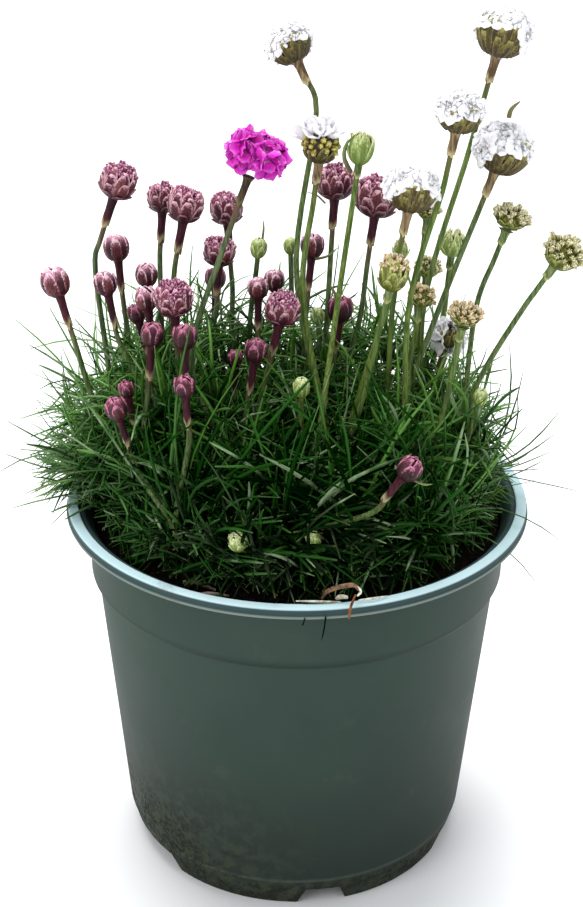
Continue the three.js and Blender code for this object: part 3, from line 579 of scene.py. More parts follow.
# Dark and light paper, and hem
PINK_SHEATH = sheath_finish("maroon sheath", (38, 7, 18), (74, 20, 36), (170, 156, 116))
DARK_SHEATH = sheath_finish("brown sheath", (42, 30, 20), (78, 62, 40), (96, 100, 62))
WHITE_SHEATH = sheath_finish("papery sheath", (84, 66, 42), (148, 128, 92), (186, 172, 130))
GREEN_SHEATH = sheath_finish("green sheath", (66, 84, 34), (122, 136, 84), (176, 176, 120))
# Hollow, body, ridge and top of the bracts, and the tan of some of them
PINK_BRACT = bract_finish(
    "pink bract", (44, 5, 20), (96, 18, 44), (232, 184, 196), (190, 112, 140), (140, 72, 70))
PINK_TIP = bract_finish("pink tip", (46, 4, 24), (98, 22, 54), (236, 190, 208), (160, 78, 116))
BUD_BRACT = bract_finish(
    "rosebud bract", (38, 4, 16), (98, 16, 46), (250, 214, 224), (216, 150, 176), (150, 74, 70))
SHADED_BRACT = bract_finish(
    "shaded bract", (32, 4, 12), (70, 10, 32), (196, 124, 150), (124, 50, 78), (98, 46, 38))
GREEN_BRACT = bract_finish("green bract", (70, 76, 20), (132, 140, 52), (214, 212, 150), (170, 172, 84))
CREAM_TIP = bract_finish("cream tip", (68, 66, 18), (142, 138, 54), (255, 252, 228), (214, 206, 156))
PEACH_TIP = bract_finish("peach tip", (80, 72, 28), (160, 148, 70), (255, 240, 214), (228, 204, 160))
YOUNG_BRACT = bract_finish("young bract", (96, 118, 50), (150, 170, 88), (214, 220, 168), (204, 212, 150))
CALYX = bract_finish(
    "olive bract", (48, 36, 16), (118, 112, 44), (164, 156, 92), (152, 142, 80), (100, 84, 42))
BEAD = bract_finish("yellow bead", (80, 62, 20), (160, 148, 56), (232, 226, 160), (200, 194, 96))
# Heart, body, rim and veins of the petals, and their glow
MAGENTA_PETAL = petal_finish("magenta petal", (246, 190, 232), (196, 8, 156), (226, 48, 192), (82, 2, 108), 3)
WHITE_PETAL = petal_finish(
    "white petal", (216, 208, 192), (240, 238, 242), (246, 245, 248), (196, 190, 208), 0.8)


# Meshes


def circle(count):
    """Evenly spaced angles round a circle."""
    return [2 * math.pi * index / count for index in range(count)]


def swung(x, y, angle):
    """A level place turned about Z."""
    return x * math.cos(angle) - y * math.sin(angle), x * math.sin(angle) + y * math.cos(angle)


def around(reach, angle, height):
    """The point at that reach from Z, that angle round it and that height."""
    return reach * math.cos(angle), reach * math.sin(angle), height


def ring_of(radius, height, count):
    """A level ring of points about Z."""
    return [around(radius, angle, height) for angle in circle(count)]


def store(mesh, name, kind, domain, values):
    """Gives a mesh an attribute with those values."""
    layer = mesh.attributes.new(name, kind, domain)
    layer.data.foreach_set("vector" if kind == "FLOAT_VECTOR" else "value", values)


class Surface:
    """Corners with values, and faces with a finish, that are written to one mesh.

    A point is its place and, where they aren't 0, its values for edge, along and mood.
    """

    VALUES = ("edge", "along", "mood")

    def __init__(self):
        self.corners = []
        self.values = []
        self.faces = []
        self.finishes = []

    def face(self, corners, finish):
        self.faces.append(corners)
        self.finishes.append(finish)

    def grid(self, points, finish=0, closed=False, turned=False):
        """Quads over rows of points. Closed joins the last column to the first."""
        first = len(self.corners)
        rows, columns = len(points), len(points[0])
        for row in points:
            for x, y, z, *values in row:
                self.corners.append((x, y, z))
                self.values.append((*values, 0, 0, 0)[:3])
        for row in range(rows - 1):
            for column in range(columns if closed else columns - 1):
                here = first + row * columns
                after = (column + 1) % columns
                face = [here + column, here + after, here + columns + after, here + columns + column]
                self.face(face[::-1] if turned else face, finish)
        return first

    def cap(self, ring, finish, turned=False):
        """Closes a ring of corners with a fan round their middle."""
        hub = len(self.corners)
        self.corners.append(tuple(np.mean([self.corners[index] for index in ring], axis=0)))
        self.values.append(tuple(np.mean([self.values[index] for index in ring], axis=0)))
        for corner, after in zip(ring, [*ring[1:], ring[0]]):
            self.face([after, corner, hub] if turned else [corner, after, hub], finish)

    def solid(self, rings, finish=0):
        """A closed solid from rings of points, the first one lowest."""
        first = self.grid(rings, finish, closed=True)
        last = len(self.corners)
        count = len(rings[0])
        self.cap(range(first, first + count), finish, turned=True)
        self.cap(range(last - count, last), finish)

    def blade(self, points, thickness):
        """A thin closed shell: a grid of points, and the same grid set back from it."""
        top = np.array(points, float)
        across = np.gradient(top[:, :, :3], axis=1)
        over = np.gradient(top[:, :, :3], axis=0)
        normal = np.cross(across, over)
        normal /= np.maximum(np.linalg.norm(normal, axis=2, keepdims=True), 1e-9)
        back = top.copy()
        back[:, :, :3] -= normal * thickness
        upper = self.grid(top)
        lower = self.grid(back, turned=True)
        rows, columns = top.shape[:2]
        border = list(range(columns))
        border += [row * columns + columns - 1 for row in range(1, rows)]
        border += [(rows - 1) * columns + column for column in range(columns - 2, -1, -1)]
        border += [row * columns for row in range(rows - 2, 0, -1)]
        for corner, after in zip(border, [*border[1:], border[0]]):
            self.face([upper + after, upper + corner, lower + corner, lower + after], 0)

    def mesh(self, name, finishes, placing=None, sharp=50, scale=MM):
        """The mesh, placed and scaled, with edges kept sharp over that many degrees."""
        made = bpy.data.meshes.new(name)
        corners = np.array(self.corners, float)
        if placing is not None:
            corners = corners @ np.array(placing.to_3x3()).T + np.array(placing.translation)
        made.from_pydata((corners * scale).tolist(), [], self.faces)
        for finish in finishes:
            made.materials.append(finish)
        made.polygons.foreach_set("material_index", self.finishes)
        made.polygons.foreach_set("use_smooth", [True] * len(self.faces))
        for key, values in zip(self.VALUES, np.array(self.values, float).T):
            store(made, key, "FLOAT", "POINT", values.tolist())
        made.set_sharp_from_angle(angle=math.radians(sharp))
        return made


# Pot and compost


def rounded(outline, reach):
    """An outline whose corners are cut by short arcs."""
    made = []
    corners = [Vector(corner) for corner in outline]
    for index, corner in enumerate(corners):
        before = corners[index - 1] - corner
        after = corners[(index + 1) % len(corners)] - corner
        room = min(reach, before.length * 0.4, after.length * 0.4)
        start = corner + before.normalized() * room
        end = corner + after.normalized() * room
        for share in (0, 0.33, 0.67, 1):
            made.append(tuple(start.lerp(corner, share).lerp(corner.lerp(end, share), share)))
    return made


def merged(mesh):
    """The mesh with its doubled corners joined, and its faces looking out."""
    work = bmesh.new()
    work.from_mesh(mesh)
    bmesh.ops.remove_doubles(work, verts=work.verts, dist=1e-6)
    bmesh.ops.recalc_face_normals(work, faces=work.faces)
    work.to_mesh(mesh)
    work.free()
    return mesh


def baked(piece):
    """A new object with the piece's evaluated mesh and no modifiers. The piece goes."""
    graph = bpy.context.evaluated_depsgraph_get()
    mesh = bpy.data.meshes.new_from_object(piece.evaluated_get(graph))
    name = piece.name
    bpy.data.objects.remove(piece)
    mesh.name = name
    return show(name, mesh)


def grow_pot():
    """A lathed wall and floor, less the gaps between the feet and the drain holes."""
    inside = COLLAR_RADIUS - WALL
    outline = [
        (HUB_RADIUS, FOOT_HEIGHT), (FOOT_RADIUS - FOOT_WIDTH, FOOT_HEIGHT),
        (FOOT_RADIUS - FOOT_WIDTH, 0), (FOOT_RADIUS, 0), (BEVEL_RADIUS, FOOT_HEIGHT),
        (SEAM_RADIUS - 0.3, SEAM_HEIGHT - 0.4), (SEAM_RADIUS, SEAM_HEIGHT),
        (WALL_TOP_RADIUS, WALL_TOP), (COLLAR_RADIUS - 0.5, COLLAR_FOOT + 0.6),
        (COLLAR_RADIUS, LIP_FOOT - 0.6), (RIM_RADIUS - 1, LIP_FOOT - 0.4), (RIM_RADIUS, LIP_FOOT - 0.3),
        (RIM_RADIUS, LIP_FOOT + 0.4), (RIM_RADIUS - 0.5, LIP_FOOT + 0.6),
        (RIM_RADIUS - 0.4, POT_HEIGHT - 0.5), (RIM_RADIUS - 0.8, POT_HEIGHT),
        (RIM_INSIDE, POT_HEIGHT), (RIM_INSIDE - 0.3, POT_HEIGHT - 0.9),
        (RIM_INSIDE - 1.8, POT_HEIGHT - 1.1), (inside, SOIL_TOP + 2),
        (inside - 0.5, COLLAR_FOOT), (WALL_TOP_RADIUS - WALL, WALL_TOP),
        (SEAM_RADIUS - WALL, SEAM_HEIGHT), (BEVEL_RADIUS - WALL, FOOT_HEIGHT + WALL),
        (HUB_RADIUS, FOOT_HEIGHT + WALL),
    ]
    outline = rounded(outline, EDGE_RADIUS)
    wall = Surface()
    wall.grid([ring_of(*corner, POT_SIDES) for corner in [*outline, outline[0]]], closed=True)
    pot = show("grow_pot_wall", merged(wall.mesh("pot", [PLASTIC])))
    cutters = Surface()
    near, far = -FOOT_RADIUS + 7.6, -FOOT_RADIUS - 8.4
    for middle, width in FOOT_GAPS:
        turn = math.radians(middle)
        half = FOOT_RADIUS * math.sin(math.radians(width / 2))
        gap = []
        for height, wide in ((-6, half + GAP_FLARE), (0, half + GAP_FLARE), (FOOT_HEIGHT - 0.6, half)):
            corners = ((-wide, far), (wide, far), (wide, near), (-wide, near))
            gap.append([(*swung(x, y, turn), height) for x, y in corners])
        cutters.solid(gap)
        hole_x, hole_y = swung(0, -DRAIN_CIRCLE, turn)
        cutters.solid([
            [(x + hole_x, y + hole_y, z) for x, y, z in ring_of(DRAIN_RADIUS, height, 24)]
            for height in (FOOT_HEIGHT - 4, FOOT_HEIGHT + 4)
        ])
    cutter = show("pot_cutter", cutters.mesh("cutter", [PLASTIC]))
    cut = pot.modifiers.new("gaps", "BOOLEAN")
    cut.operation = "DIFFERENCE"
    cut.solver = "EXACT"
    cut.object = cutter
    pot = baked(pot)
    bpy.data.objects.remove(cutter)
    pot.data.set_sharp_from_angle(angle=math.radians(35))
    return pot


def soil_height(x, y):
    """The lumpy top of the compost."""
    rough = noise.fractal(Vector((x, y, 3.0)) * 0.09, 0.8, 2.1, 5)
    return SOIL_TOP - 1.0 + 0.9 * rough


def wall_inside(height):
    """The compost's radius at a height under the collar, just clear of the wall."""
    share = (height - SEAM_HEIGHT) / (WALL_TOP - SEAM_HEIGHT)
    return mix(SEAM_RADIUS, WALL_TOP_RADIUS, share) - WALL - GAP


def compost():
    """A filling that follows the pot's inside, with a lumpy top."""
    collar = COLLAR_RADIUS - WALL - 0.5 - GAP
    floor = FOOT_HEIGHT + WALL + GAP
    side = [(wall_inside(floor) - 1, floor), (wall_inside(SEAM_HEIGHT), SEAM_HEIGHT + GAP)]
    side += [(wall_inside(WALL_TOP), WALL_TOP + GAP), (collar, COLLAR_FOOT + 1)]
    rings = [ring_of(radius, height, SOIL_SIDES) for radius, height in side]
    for step in range(SOIL_RINGS):
        flat = ring_of(collar * math.sqrt(1 - step / SOIL_RINGS), 0, SOIL_SIDES)
        rings.append([(x, y, soil_height(x, y)) for x, y, _ in flat])
    surface = Surface()
    surface.solid(rings)
    return show("compost_fill", surface.mesh("compost", [SOIL], sharp=80))


# Geometry node trees


class Growth(Tree):
    """A geometry node tree with named inputs, one of them the finish."""

    def __init__(self, name, inputs):
        super().__init__(bpy.data.node_groups.new(name, "GeometryNodeTree"))
        sockets = self.tree.interface
        sockets.new_socket("Geometry", in_out="OUTPUT", socket_type="NodeSocketGeometry")
        self.keys = {}
        for label, kind in {"Geometry": "Geometry", **inputs, "Finish": "Material"}.items():
            socket = sockets.new_socket(label, in_out="INPUT", socket_type=f"NodeSocket{kind}")
            self.keys[label] = socket.identifier
        self.given = self.add("NodeGroupInput").outputs

    def named(self, name, kind="FLOAT"):
        return self.result("GeometryNodeInputNamedAttribute", {"Name": name}, data_type=kind)

    def shape_of(self, label):
        """The mesh of the object that an input names."""
        return self.add("GeometryNodeObjectInfo", {"Object": self.given[label]}).outputs["Geometry"]

    def joined(self, *parts):
        both = self.add("GeometryNodeJoinGeometry")
        for part in parts:
            self.tree.links.new(part, both.inputs[0])
        return both.outputs[0]

    def close(self, geometry, selection=True):
        """Ends the tree in real meshes with their finish."""
        real = self.result("GeometryNodeRealizeInstances", {"Geometry": geometry})
        inputs = {"Geometry": real, "Selection": selection, "Material": self.given["Finish"]}
        self.add("NodeGroupOutput", {0: self.result("GeometryNodeSetMaterial", inputs)})
        return self

    def run(self, piece, values):
        """The piece as the tree makes it with those values for its inputs, as a plain mesh."""
        modifier = piece.modifiers.new(self.tree.name, "NODES")
        modifier.node_group = self.tree
        for label, value in values.items():
            modifier[self.keys[label]] = value
        return baked(piece)


def strand_tree():
    """Centre lines made solid: a flattened round section that follows each line's half width."""
    tree = Growth("tapered strands", {"Sides": "Int", "Flatness": "Float"})
    lines = tree.result("GeometryNodeMeshToCurve", {"Mesh": tree.given["Geometry"]})
    tilted = tree.result("GeometryNodeSetCurveTilt", {"Curve": lines, "Tilt": tree.named("tilt")})
    circle_line = tree.result("GeometryNodeCurvePrimitiveCircle", {
        "Resolution": tree.given["Sides"], "Radius": 1.0})
    size = tree.result("ShaderNodeCombineXYZ", {"X": tree.given["Flatness"], "Y": 1.0, "Z": 1.0})
    section = tree.result("GeometryNodeTransform", {"Geometry": circle_line, "Scale": size})
    solid = tree.result("GeometryNodeCurveToMesh", {
        "Curve": tilted, "Profile Curve": section, "Scale": tree.named("half_width"), "Fill Caps": True})
    return tree.close(tree.result("GeometryNodeSetShadeSmooth", {"Geometry": solid}))


def floret_tree():
    """A floret on every seat of a head, turned outwards."""
    tree = Growth("florets on a head", {"Floret": "Object", "Floret size": "Float"})
    seat = tree.named("seat", "BOOLEAN")
    facing = tree.result("FunctionNodeAlignRotationToVector", {
        "Vector": tree.named("out", "FLOAT_VECTOR")}, axis="Z")
    spin = tree.result("FunctionNodeAxisAngleToRotation", {"Axis": (0, 0, 1), "Angle": tree.named("spin")})
    turn = tree.result("FunctionNodeRotateRotation", {
        "Rotation": facing, "Rotate By": spin}, rotation_space="LOCAL")
    size = tree.result("ShaderNodeVectorMath", {
        0: tree.named("size", "FLOAT_VECTOR"), "Scale": tree.given["Floret size"]}, operation="SCALE")
    placed = tree.result("GeometryNodeInstanceOnPoints", {
        "Points": tree.given["Geometry"], "Selection": seat, "Instance": tree.shape_of("Floret"),
        "Rotation": turn, "Scale": size})
    body = tree.result("GeometryNodeDeleteGeometry", {"Geometry": tree.given["Geometry"], "Selection": seat})
    return tree.close(tree.joined(placed, body), tree.named("floret", "BOOLEAN"))


def crumb_tree():
    """Crumbs strewn over a surface, by a fixed seed."""
    tree = Growth("strewn crumbs", {
        "Crumb": "Object", "Spacing": "Float", "Density": "Float", "Crumb size": "Float", "Seed": "Int"})
    strewn = tree.result("GeometryNodeDistributePointsOnFaces", {
        "Mesh": tree.given["Geometry"], "Selection": tree.named("top", "BOOLEAN"),
        "Distance Min": tree.given["Spacing"], "Density Max": tree.given["Density"],
        "Seed": tree.given["Seed"]}, distribute_method="POISSON")
    angles = tree.result("FunctionNodeRandomValue", {
        "Min": (0, 0, 0), "Max": (6.28, 6.28, 6.28)}, data_type="FLOAT_VECTOR")
    turn = tree.result("FunctionNodeEulerToRotation", {0: angles})
    size = tree.add("FunctionNodeRandomValue", {2: 0.35, 3: 1.3}, data_type="FLOAT").outputs[1]
    scale = tree.math("MULTIPLY", size, tree.given["Crumb size"])
    placed = tree.result("GeometryNodeInstanceOnPoints", {
        "Points": strewn, "Instance": tree.shape_of("Crumb"), "Rotation": turn, "Scale": scale})
    return tree.close(tree.joined(placed, tree.given["Geometry"]))


STRAND_TREE = strand_tree()
FLORET_TREE = floret_tree()
CRUMB_TREE = crumb_tree()


class Strands:
    """Centre lines with a half width and other values at each point."""

    VALUES = ("half_width", "tilt", "along", "shade", "pale", "dry", "ruddy", "warm")

    def __init__(self):
        self.points = []
        self.edges = []
        self.values = {key: [] for key in self.VALUES}

    def add(self, path, half_widths, **values):
        first = len(self.points)
        last = len(path) - 1
        for index, point in enumerate(path):
            self.points.append(tuple(point * MM))
            row = {"half_width": half_widths[index] * MM, "along": index / last, **values}
            for key in self.VALUES:
                self.values[key].append(row.get(key, 0.0))
        self.edges.extend((first + index, first + index + 1) for index in range(last))

    def piece(self, name, sides, flatness, finish):
        mesh = bpy.data.meshes.new(name)
        mesh.from_pydata(self.points, self.edges, [])
        for key in self.VALUES:
            store(mesh, key, "FLOAT", "POINT", self.values[key])
        values = {"Sides": sides, "Flatness": flatness, "Finish": finish}
        return STRAND_TREE.run(show(name, mesh), values)


# Rosettes and the paths of stems and leaves


def leaning(x, y, lean):
    """The upward way at a level place, leaning away from the pot's middle."""
    reach = math.hypot(x, y)
    return Vector((math.sin(lean) * x / reach, math.sin(lean) * y / reach, math.cos(lean)))


class Rosette:
    """A heart that leaves grow from.

    Share is how far out it stands, 1 at the rim. Rise is how far up the heart its leaves start.
    """

    def __init__(self, x, y, height, axis, share=1.0, rise=0.0):
        self.plant = "pink" if x - 0.6 * y < 4 or (y < -38 and x < 16) else "white"
        self.axis = axis
        self.middle = Vector((x, y, height)) + axis * HEART_HEIGHT * rise
        self.turn = UP.rotation_difference(axis)
        self.share = share
        self.stems = 0


def home_rosette(index):
    """One of the big rosettes, which stand in a spiral on the compost and bear the stems."""
    share = math.sqrt((index + 0.5) / ROSETTES)
    angle = index * GOLDEN_ANGLE + ROSETTE_TURN
    x, y, height = around(ROSETTE_SPREAD * share, angle, SOIL_TOP + 3)
    return Rosette(x, y, height, leaning(x, y, HEART_LEAN * share), share, 0.72)


HOMES = [home_rosette(index) for index in range(ROSETTES)]


def smooth_path(corners, count):
    """A curve through the corners that doesn't overshoot, as evenly numbered points."""
    corners = [Vector(corner) for corner in corners]
    ends = [corners[0] * 2 - corners[1], *corners, corners[-1] * 2 - corners[-2]]
    knots = [0.0]
    for before, after in zip(ends, ends[1:]):
        knots.append(knots[-1] + math.sqrt((after - before).length))
    made = []
    spans = len(corners) - 1
    for step in range(count):
        share = step / (count - 1) * spans
        index = min(int(share), spans - 1)
        points = ends[index:index + 4]
        times = knots[index:index + 4]
        time = mix(times[1], times[2], share - index)

        def between(one, two, start, end):
            return one * ((end - time) / (end - start)) + two * ((time - start) / (end - start))

        first = [between(points[k], points[k + 1], times[k], times[k + 1]) for k in range(3)]
        second = [between(first[k], first[k + 1], times[k], times[k + 2]) for k in range(2)]
        made.append(between(second[0], second[1], times[1], times[2]))
    return made


class Flower:
    """A head with its axis, and its stem's path up from a rosette."""

    def __init__(self, name, kind, plant, at, width, low, bend=None):
        self.name = name
        self.kind = kind
        self.plant = plant
        self.head = Vector(at)
        self.width = width
        low = Vector(low)
        self.axis = (self.head - (Vector(bend) if bend else low)).normalized()
        self.sheath = SHEATH_LENGTH.get(kind, 0)
        neck = self.head - self.axis * (width * 0.42 + self.sheath)
        foot = low + (low - self.head).normalized() * (low.z - 126) * 0.8
        free = [home for home in HOMES if home.plant == plant and home.stems < STEMS_PER_HEART]
        home = min(free, key=lambda one: (one.middle - foot).length)
        home.stems += 1
        start = home.middle + home.axis * HEART_HEIGHT * 0.7
        corners = [start, start + home.axis * 7]
        corners += [point for point in (low, bend) if point and point[2] < neck.z - 9]
        corners += [neck - self.axis * 5, neck + self.axis * 3]
        self.path = smooth_path(corners, STEM_POINTS)
        self.turn = UP.rotation_difference(self.axis).to_matrix()
        self.placing = Matrix.Translation(self.head) @ self.turn.to_4x4()

    def draws(self, by_x, by_z, offset):
        """Random numbers of the head's own."""
        return seeded(int(abs(self.head.x * by_x + self.head.z * by_z)) + offset)


def numbered(name, kind, plant, rows):
    return [Flower(f"{name}_{index + 1:02d}", kind, plant, *row) for index, row in enumerate(rows)]


FLOWERS = [
    *numbered("pink_bud", "pink", "pink", PINK_BUDS),
    *numbered("magenta_bloom", "magenta", "pink", MAGENTA_BLOOMS),
    *numbered("white_bloom", "white", "white", WHITE_BLOOMS),
    *numbered("green_bud", "green", "white", GREEN_BUDS),
]
YOUNG = [
    Flower(f"young_bud_{index + 1:02d}", "young", plant, at, width, low)
    for index, (plant, at, width, low) in enumerate(YOUNG_BUDS)
]


def stems(plant):
    """The stems of one plant's flowers, ruddy under some kinds of head."""
    draw = seeded(STEM_SEED)
    strands = Strands()
    for flower in [*FLOWERS, *YOUNG]:
        if flower.plant != plant:
            continue
        radii = [mix(STEM_RADIUS, STEM_NECK_RADIUS, step / (STEM_POINTS - 1)) for step in range(STEM_POINTS)]
        warm = draw(0.0, 0.4) if plant == "pink" else draw(0.3, 1.0)
        strands.add(flower.path, radii, ruddy=RUDDY_NECK.get(flower.kind, 0.0), warm=warm)
    return strands.piece(f"{plant}_thrift_stems", 10, 1.0, STEM)


def leaf_taper(share):
    """How wide a leaf is along it: narrow at the root, full along most of it, blunt at the tip."""
    return min(1.0, 0.72 + share * 1.6) * (1 - share ** 10 * 0.62)


LEAF_SHARES = [index / (LEAF_POINTS - 1) for index in range(LEAF_POINTS)]
TAPER = [leaf_taper(share) for share in LEAF_SHARES]


def leaf_path(root, direction, tip, sway, curl):
    """An arched line from the root to the tip, a little off its plane, with a curled end."""
    control = root + direction * (root - tip).length * 0.5
    made = []
    for share in LEAF_SHARES:
        point = root * (1 - share) ** 2 + control * 2 * share * (1 - share) + tip * share ** 2
        end = max(0.0, share - 0.45) / 0.55
        made.append(point + sway * math.sin(share * math.pi) + curl * end ** 2)
    return made


def clears_pot(path):
    """Whether a leaf stays over the compost and the rim, and hangs down only outside the rim."""
    for point in path:
        reach = math.hypot(point.x, point.y)
        if reach < OPEN_RADIUS:
            floor = SOIL_TOP + 0.3
        elif reach < RIM_RADIUS + 1:
            floor = POT_HEIGHT + 0.6
        else:
            floor = POT_HEIGHT - 4
        if point.z < floor:
            return False
    return True


def reach_towards(point):
    """How far out a leaf may go: over the rim at the sides, short of it at the front's two corners."""
    facing = -point.y / max(math.hypot(point.x, point.y), 1)
    side = RIGHT_REACH if point.x > 0 else LEFT_REACH
    corner = clamped((facing - 0.12) / 0.3)
    front = clamped((facing - 0.82) / 0.12)
    return mix(mix(side, CORNER_REACH, corner), FRONT_REACH, front)


def add_outer_leaves(strands):
    """The longest leaves, thin and hooked, out to the plant's limits."""
    draw = seeded(OUTER_SEED)
    widths = [LEAF_HALF_WIDTH * 0.8 * share for share in TAPER]
    for index, target in enumerate(OUTER_TIPS):
        tip = Vector(target)
        home = min(HOMES, key=lambda one: (one.middle - tip).length)
        level = Vector((tip.x - home.middle.x, tip.y - home.middle.y, 0)).normalized()
        direction = (level + UP * draw(0.3, 0.9)).normalized()
        hook = UP * draw(-9, 9) + level * draw(-3, 0)
        sway = UP * draw(-4, 4)
        path = leaf_path(home.middle, direction, tip - hook, sway, hook)
        # Their paleness gives them painted glints.
        strands[home.plant].add(path, widths, shade=draw(0.1, 0.5), pale=draw(0.4, 0.8), tilt=0.2 * index)


def try_leaf(home, draw, size):
    """A leaf's path in a way drawn at random, short enough to stay in bounds, or nothing."""
    polar = 1.45 * draw() ** 0.6
    spin = draw(0, 2 * math.pi)
    length = LEAF_LENGTH * size * draw(0.6, 1.14) * (1 - 0.12 * (1 - home.share))
    length *= 1.12 if home.middle.x < -25 else 1.0
    if draw() < SHORT_LEAVES:
        length *= 0.6
    level = Vector(around(1, spin, 0))

    def ray(angle):
        return home.turn @ (level * math.sin(angle) + UP * math.cos(angle))

    root = home.middle + home.turn @ (level * draw(1, 6)) + home.axis * draw(-5, 2)
    way = ray(polar + 0.1)
    while length > SHORTEST_LEAF:
        tip = root + way * length
        tip.z -= length * LEAF_DROOP * math.sin(polar)
        if math.hypot(tip.x, tip.y) < reach_towards(tip):
            break
        length *= 0.88
    else:
        return None
    sway = Vector((draw(-1, 1), draw(-1, 1), draw(-0.6, 0.6))) * length * LEAF_SWAY
    curl = Vector((draw(-1, 1), draw(-1, 1), draw(-1.3, 0.6))) * length * LEAF_CURL
    path = leaf_path(root, ray(max(polar - 0.35, 0)), tip, sway, curl)
    inside = abs(path[-1].x) < REACH_X and abs(path[-1].y) < REACH_Y
    return path if inside and clears_pot(path) else None


def light_on(tip):
    """Painted light on a leaf by where its tip is: painted shade low down at the front, lighter up high, at
    the back and sides.
    """
    side = max(0.0, abs(tip.x) - 15) / 75
    back = max(0.0, tip.y + 12) / 75
    high = max(0.0, tip.z - 146) / 40
    right = 0.2 if tip.x > 25 else 0.0
    front = clamped((-tip.y - 12) / 36)
    return min(1.0, (0.55 * side + 0.55 * high + right) * (1 - 0.75 * front) + 0.85 * back)


def add_rosette_leaves(strands, home, draw, count, size, broad=1.0):
    """Leaves about a rosette, broader low down at the front. One that fits nowhere is left out."""
    for _ in range(count):
        for _ in range(LEAF_TRIES):
            path = try_leaf(home, draw, size)
            if path:
                break
        else:
            continue
        tip = path[-1]
        outer = max(0.0, math.hypot(tip.x, tip.y) - 60) / 30
        left = 1.0 if tip.x < 0 else 0.5
        wide = BROAD_LEAF if tip.y < -22 and abs(tip.x) < 52 else 1.0
        width = LEAF_HALF_WIDTH * draw(0.8, 1.25) * max(wide, broad)
        widths = [width * share for share in TAPER]
        dry = draw(0.3, 0.7) if draw() < DRY_LEAVES and tip.y > -20 else 0.0
        glint = draw(0.5, 1.0) if draw() < 0.05 + 0.25 * light_on(tip) else 0.0
        # Pale outer leaves on the left, and the glints, are painted highlights.
        pale = min(1.0, outer * left * draw(0.1, 0.6) + glint)
        # A leaf's shade is a random tone plus the painted light of light_on.
        shade = min(1.0, draw() ** 3 * 0.5 + light_on(tip) * draw(0.3, 1.45))
        strands[home.plant].add(path, widths, shade=shade, pale=pale, dry=dry, tilt=draw(0, 3.14))


def leaves():
    """All the leaves, as one piece for each plant."""
    strands = {"pink": Strands(), "white": Strands()}
    add_outer_leaves(strands)
    draw = seeded(LEAF_SEED)
    for home in HOMES:
        add_rosette_leaves(strands, home, draw, LEAVES_PER_ROSETTE, 1.0)
    for (x, y), size in TUFTS:
        tuft = Rosette(x, y, SOIL_TOP + 4.5, leaning(x, y, HEART_LEAN * 0.8))
        add_rosette_leaves(strands, tuft, draw, LEAVES_PER_TUFT, size)
    for (x, y, height), size in HIGH_ROSETTES:
        high = Rosette(x, y, height, Vector((x, y, 60)).normalized())
        add_rosette_leaves(strands, high, draw, LEAVES_PER_HIGH, size)
    for (x, y, height), size in FACING_ROSETTES:
        facing = Rosette(x, y, height, Vector((x * 0.006, -0.6, 0.75)).normalized())
        add_rosette_leaves(strands, facing, draw, LEAVES_PER_FACING, size, BROAD_LEAF)
    return {plant: made.piece(f"{plant}_thrift_leaves", 3, 0.5, LEAF) for plant, made in strands.items()}


# Florets, bracts and heads. Each is made in its own place with its outward way along Z


def floret_template(name, surface, finish):
    """A hidden object for one floret, about one unit from its middle to its rim."""
    made = surface.mesh(name, [finish], scale=1.0)
    store(made, "floret", "BOOLEAN", "FACE", [True] * len(made.polygons))
    template = show(name, made)
    template.hide_render = True
    return template


def knob(name, finish, rings, twist=0.0):
    """A closed floret with five ribs, from rings of height, reach, depth of ribs and paleness."""
    made = []
    for step, (height, reach, ribs, pale) in enumerate(rings):
        ring = []
        for angle in circle(10):
            crest = math.cos(5 * angle)
            out = reach * (1 + ribs * crest)
            place = around(out, angle + twist * step, height + ribs * crest * 0.6)
            ring.append((*place, pale * (0.6 + 0.4 * crest), 0.25 + 0.75 * pale))
        made.append(ring)
    surface = Surface()
    surface.solid(made)
    return floret_template(name, surface, finish)


def open_floret(name, ruffle, cup, finish):
    """Five broad petals round a small eye."""
    surface = Surface()
    rows, columns = 6, 5
    for petal, turn in enumerate(circle(5)):
        points = []
        for row in range(rows):
            share = row / (rows - 1)
            half = 0.5 * (0.22 + 0.78 * math.sin(min(share * 1.25, 1.0) * math.pi / 2))
            half *= math.sqrt(max(0.3, 1 - max(0.0, share - 0.7) * 2.4))
            line = []
            for column in range(columns):
                side = column / (columns - 1) * 2 - 1
                out = 0.06 + share * (0.94 - 0.14 * side * side * share)
                lift = cup * share ** 1.5 + ruffle * share * math.sin(side * 4.4 + petal * 1.9)
                line.append((*swung(out, side * half, turn), lift + 0.014 * petal, abs(side), share))
            points.append(line)
        surface.blade(points, 0.035)
    surface.solid([ring_of(0.13, -0.12, 8), ring_of(0.12, 0.05, 8), ring_of(0.05, 0.12, 8)])
    return floret_template(name, surface, finish)


def cushion_floret(name, finish):
    """Five broad petals grown together into a soft ruffled cushion."""
    rings = []
    for reach, rise, along in CUSHION_RINGS:
        ring = []
        for angle in circle(20):
            lobe = math.cos(5 * angle)
            out = reach * (1 + 0.15 * lobe * reach)
            lift = rise + reach * (0.06 * math.sin(10 * angle + 1) + 0.04 * lobe)
            ring.append((*around(out, angle, lift), 0.5, along))
        rings.append(ring)
    surface = Surface()
    surface.solid(rings)
    return floret_template(name, surface, finish)


# Rings of the cushion, up from its underside: reach, rise and how far along the petals they are
CUSHION_RINGS = [
    (0.5, -0.3, 0.5), (0.94, -0.14, 0.9), (1.0, 0.0, 1.0), (0.88, 0.12, 0.85), (0.62, 0.2, 0.6),
    (0.32, 0.2, 0.4), (0.12, 0.12, 0.2),
]
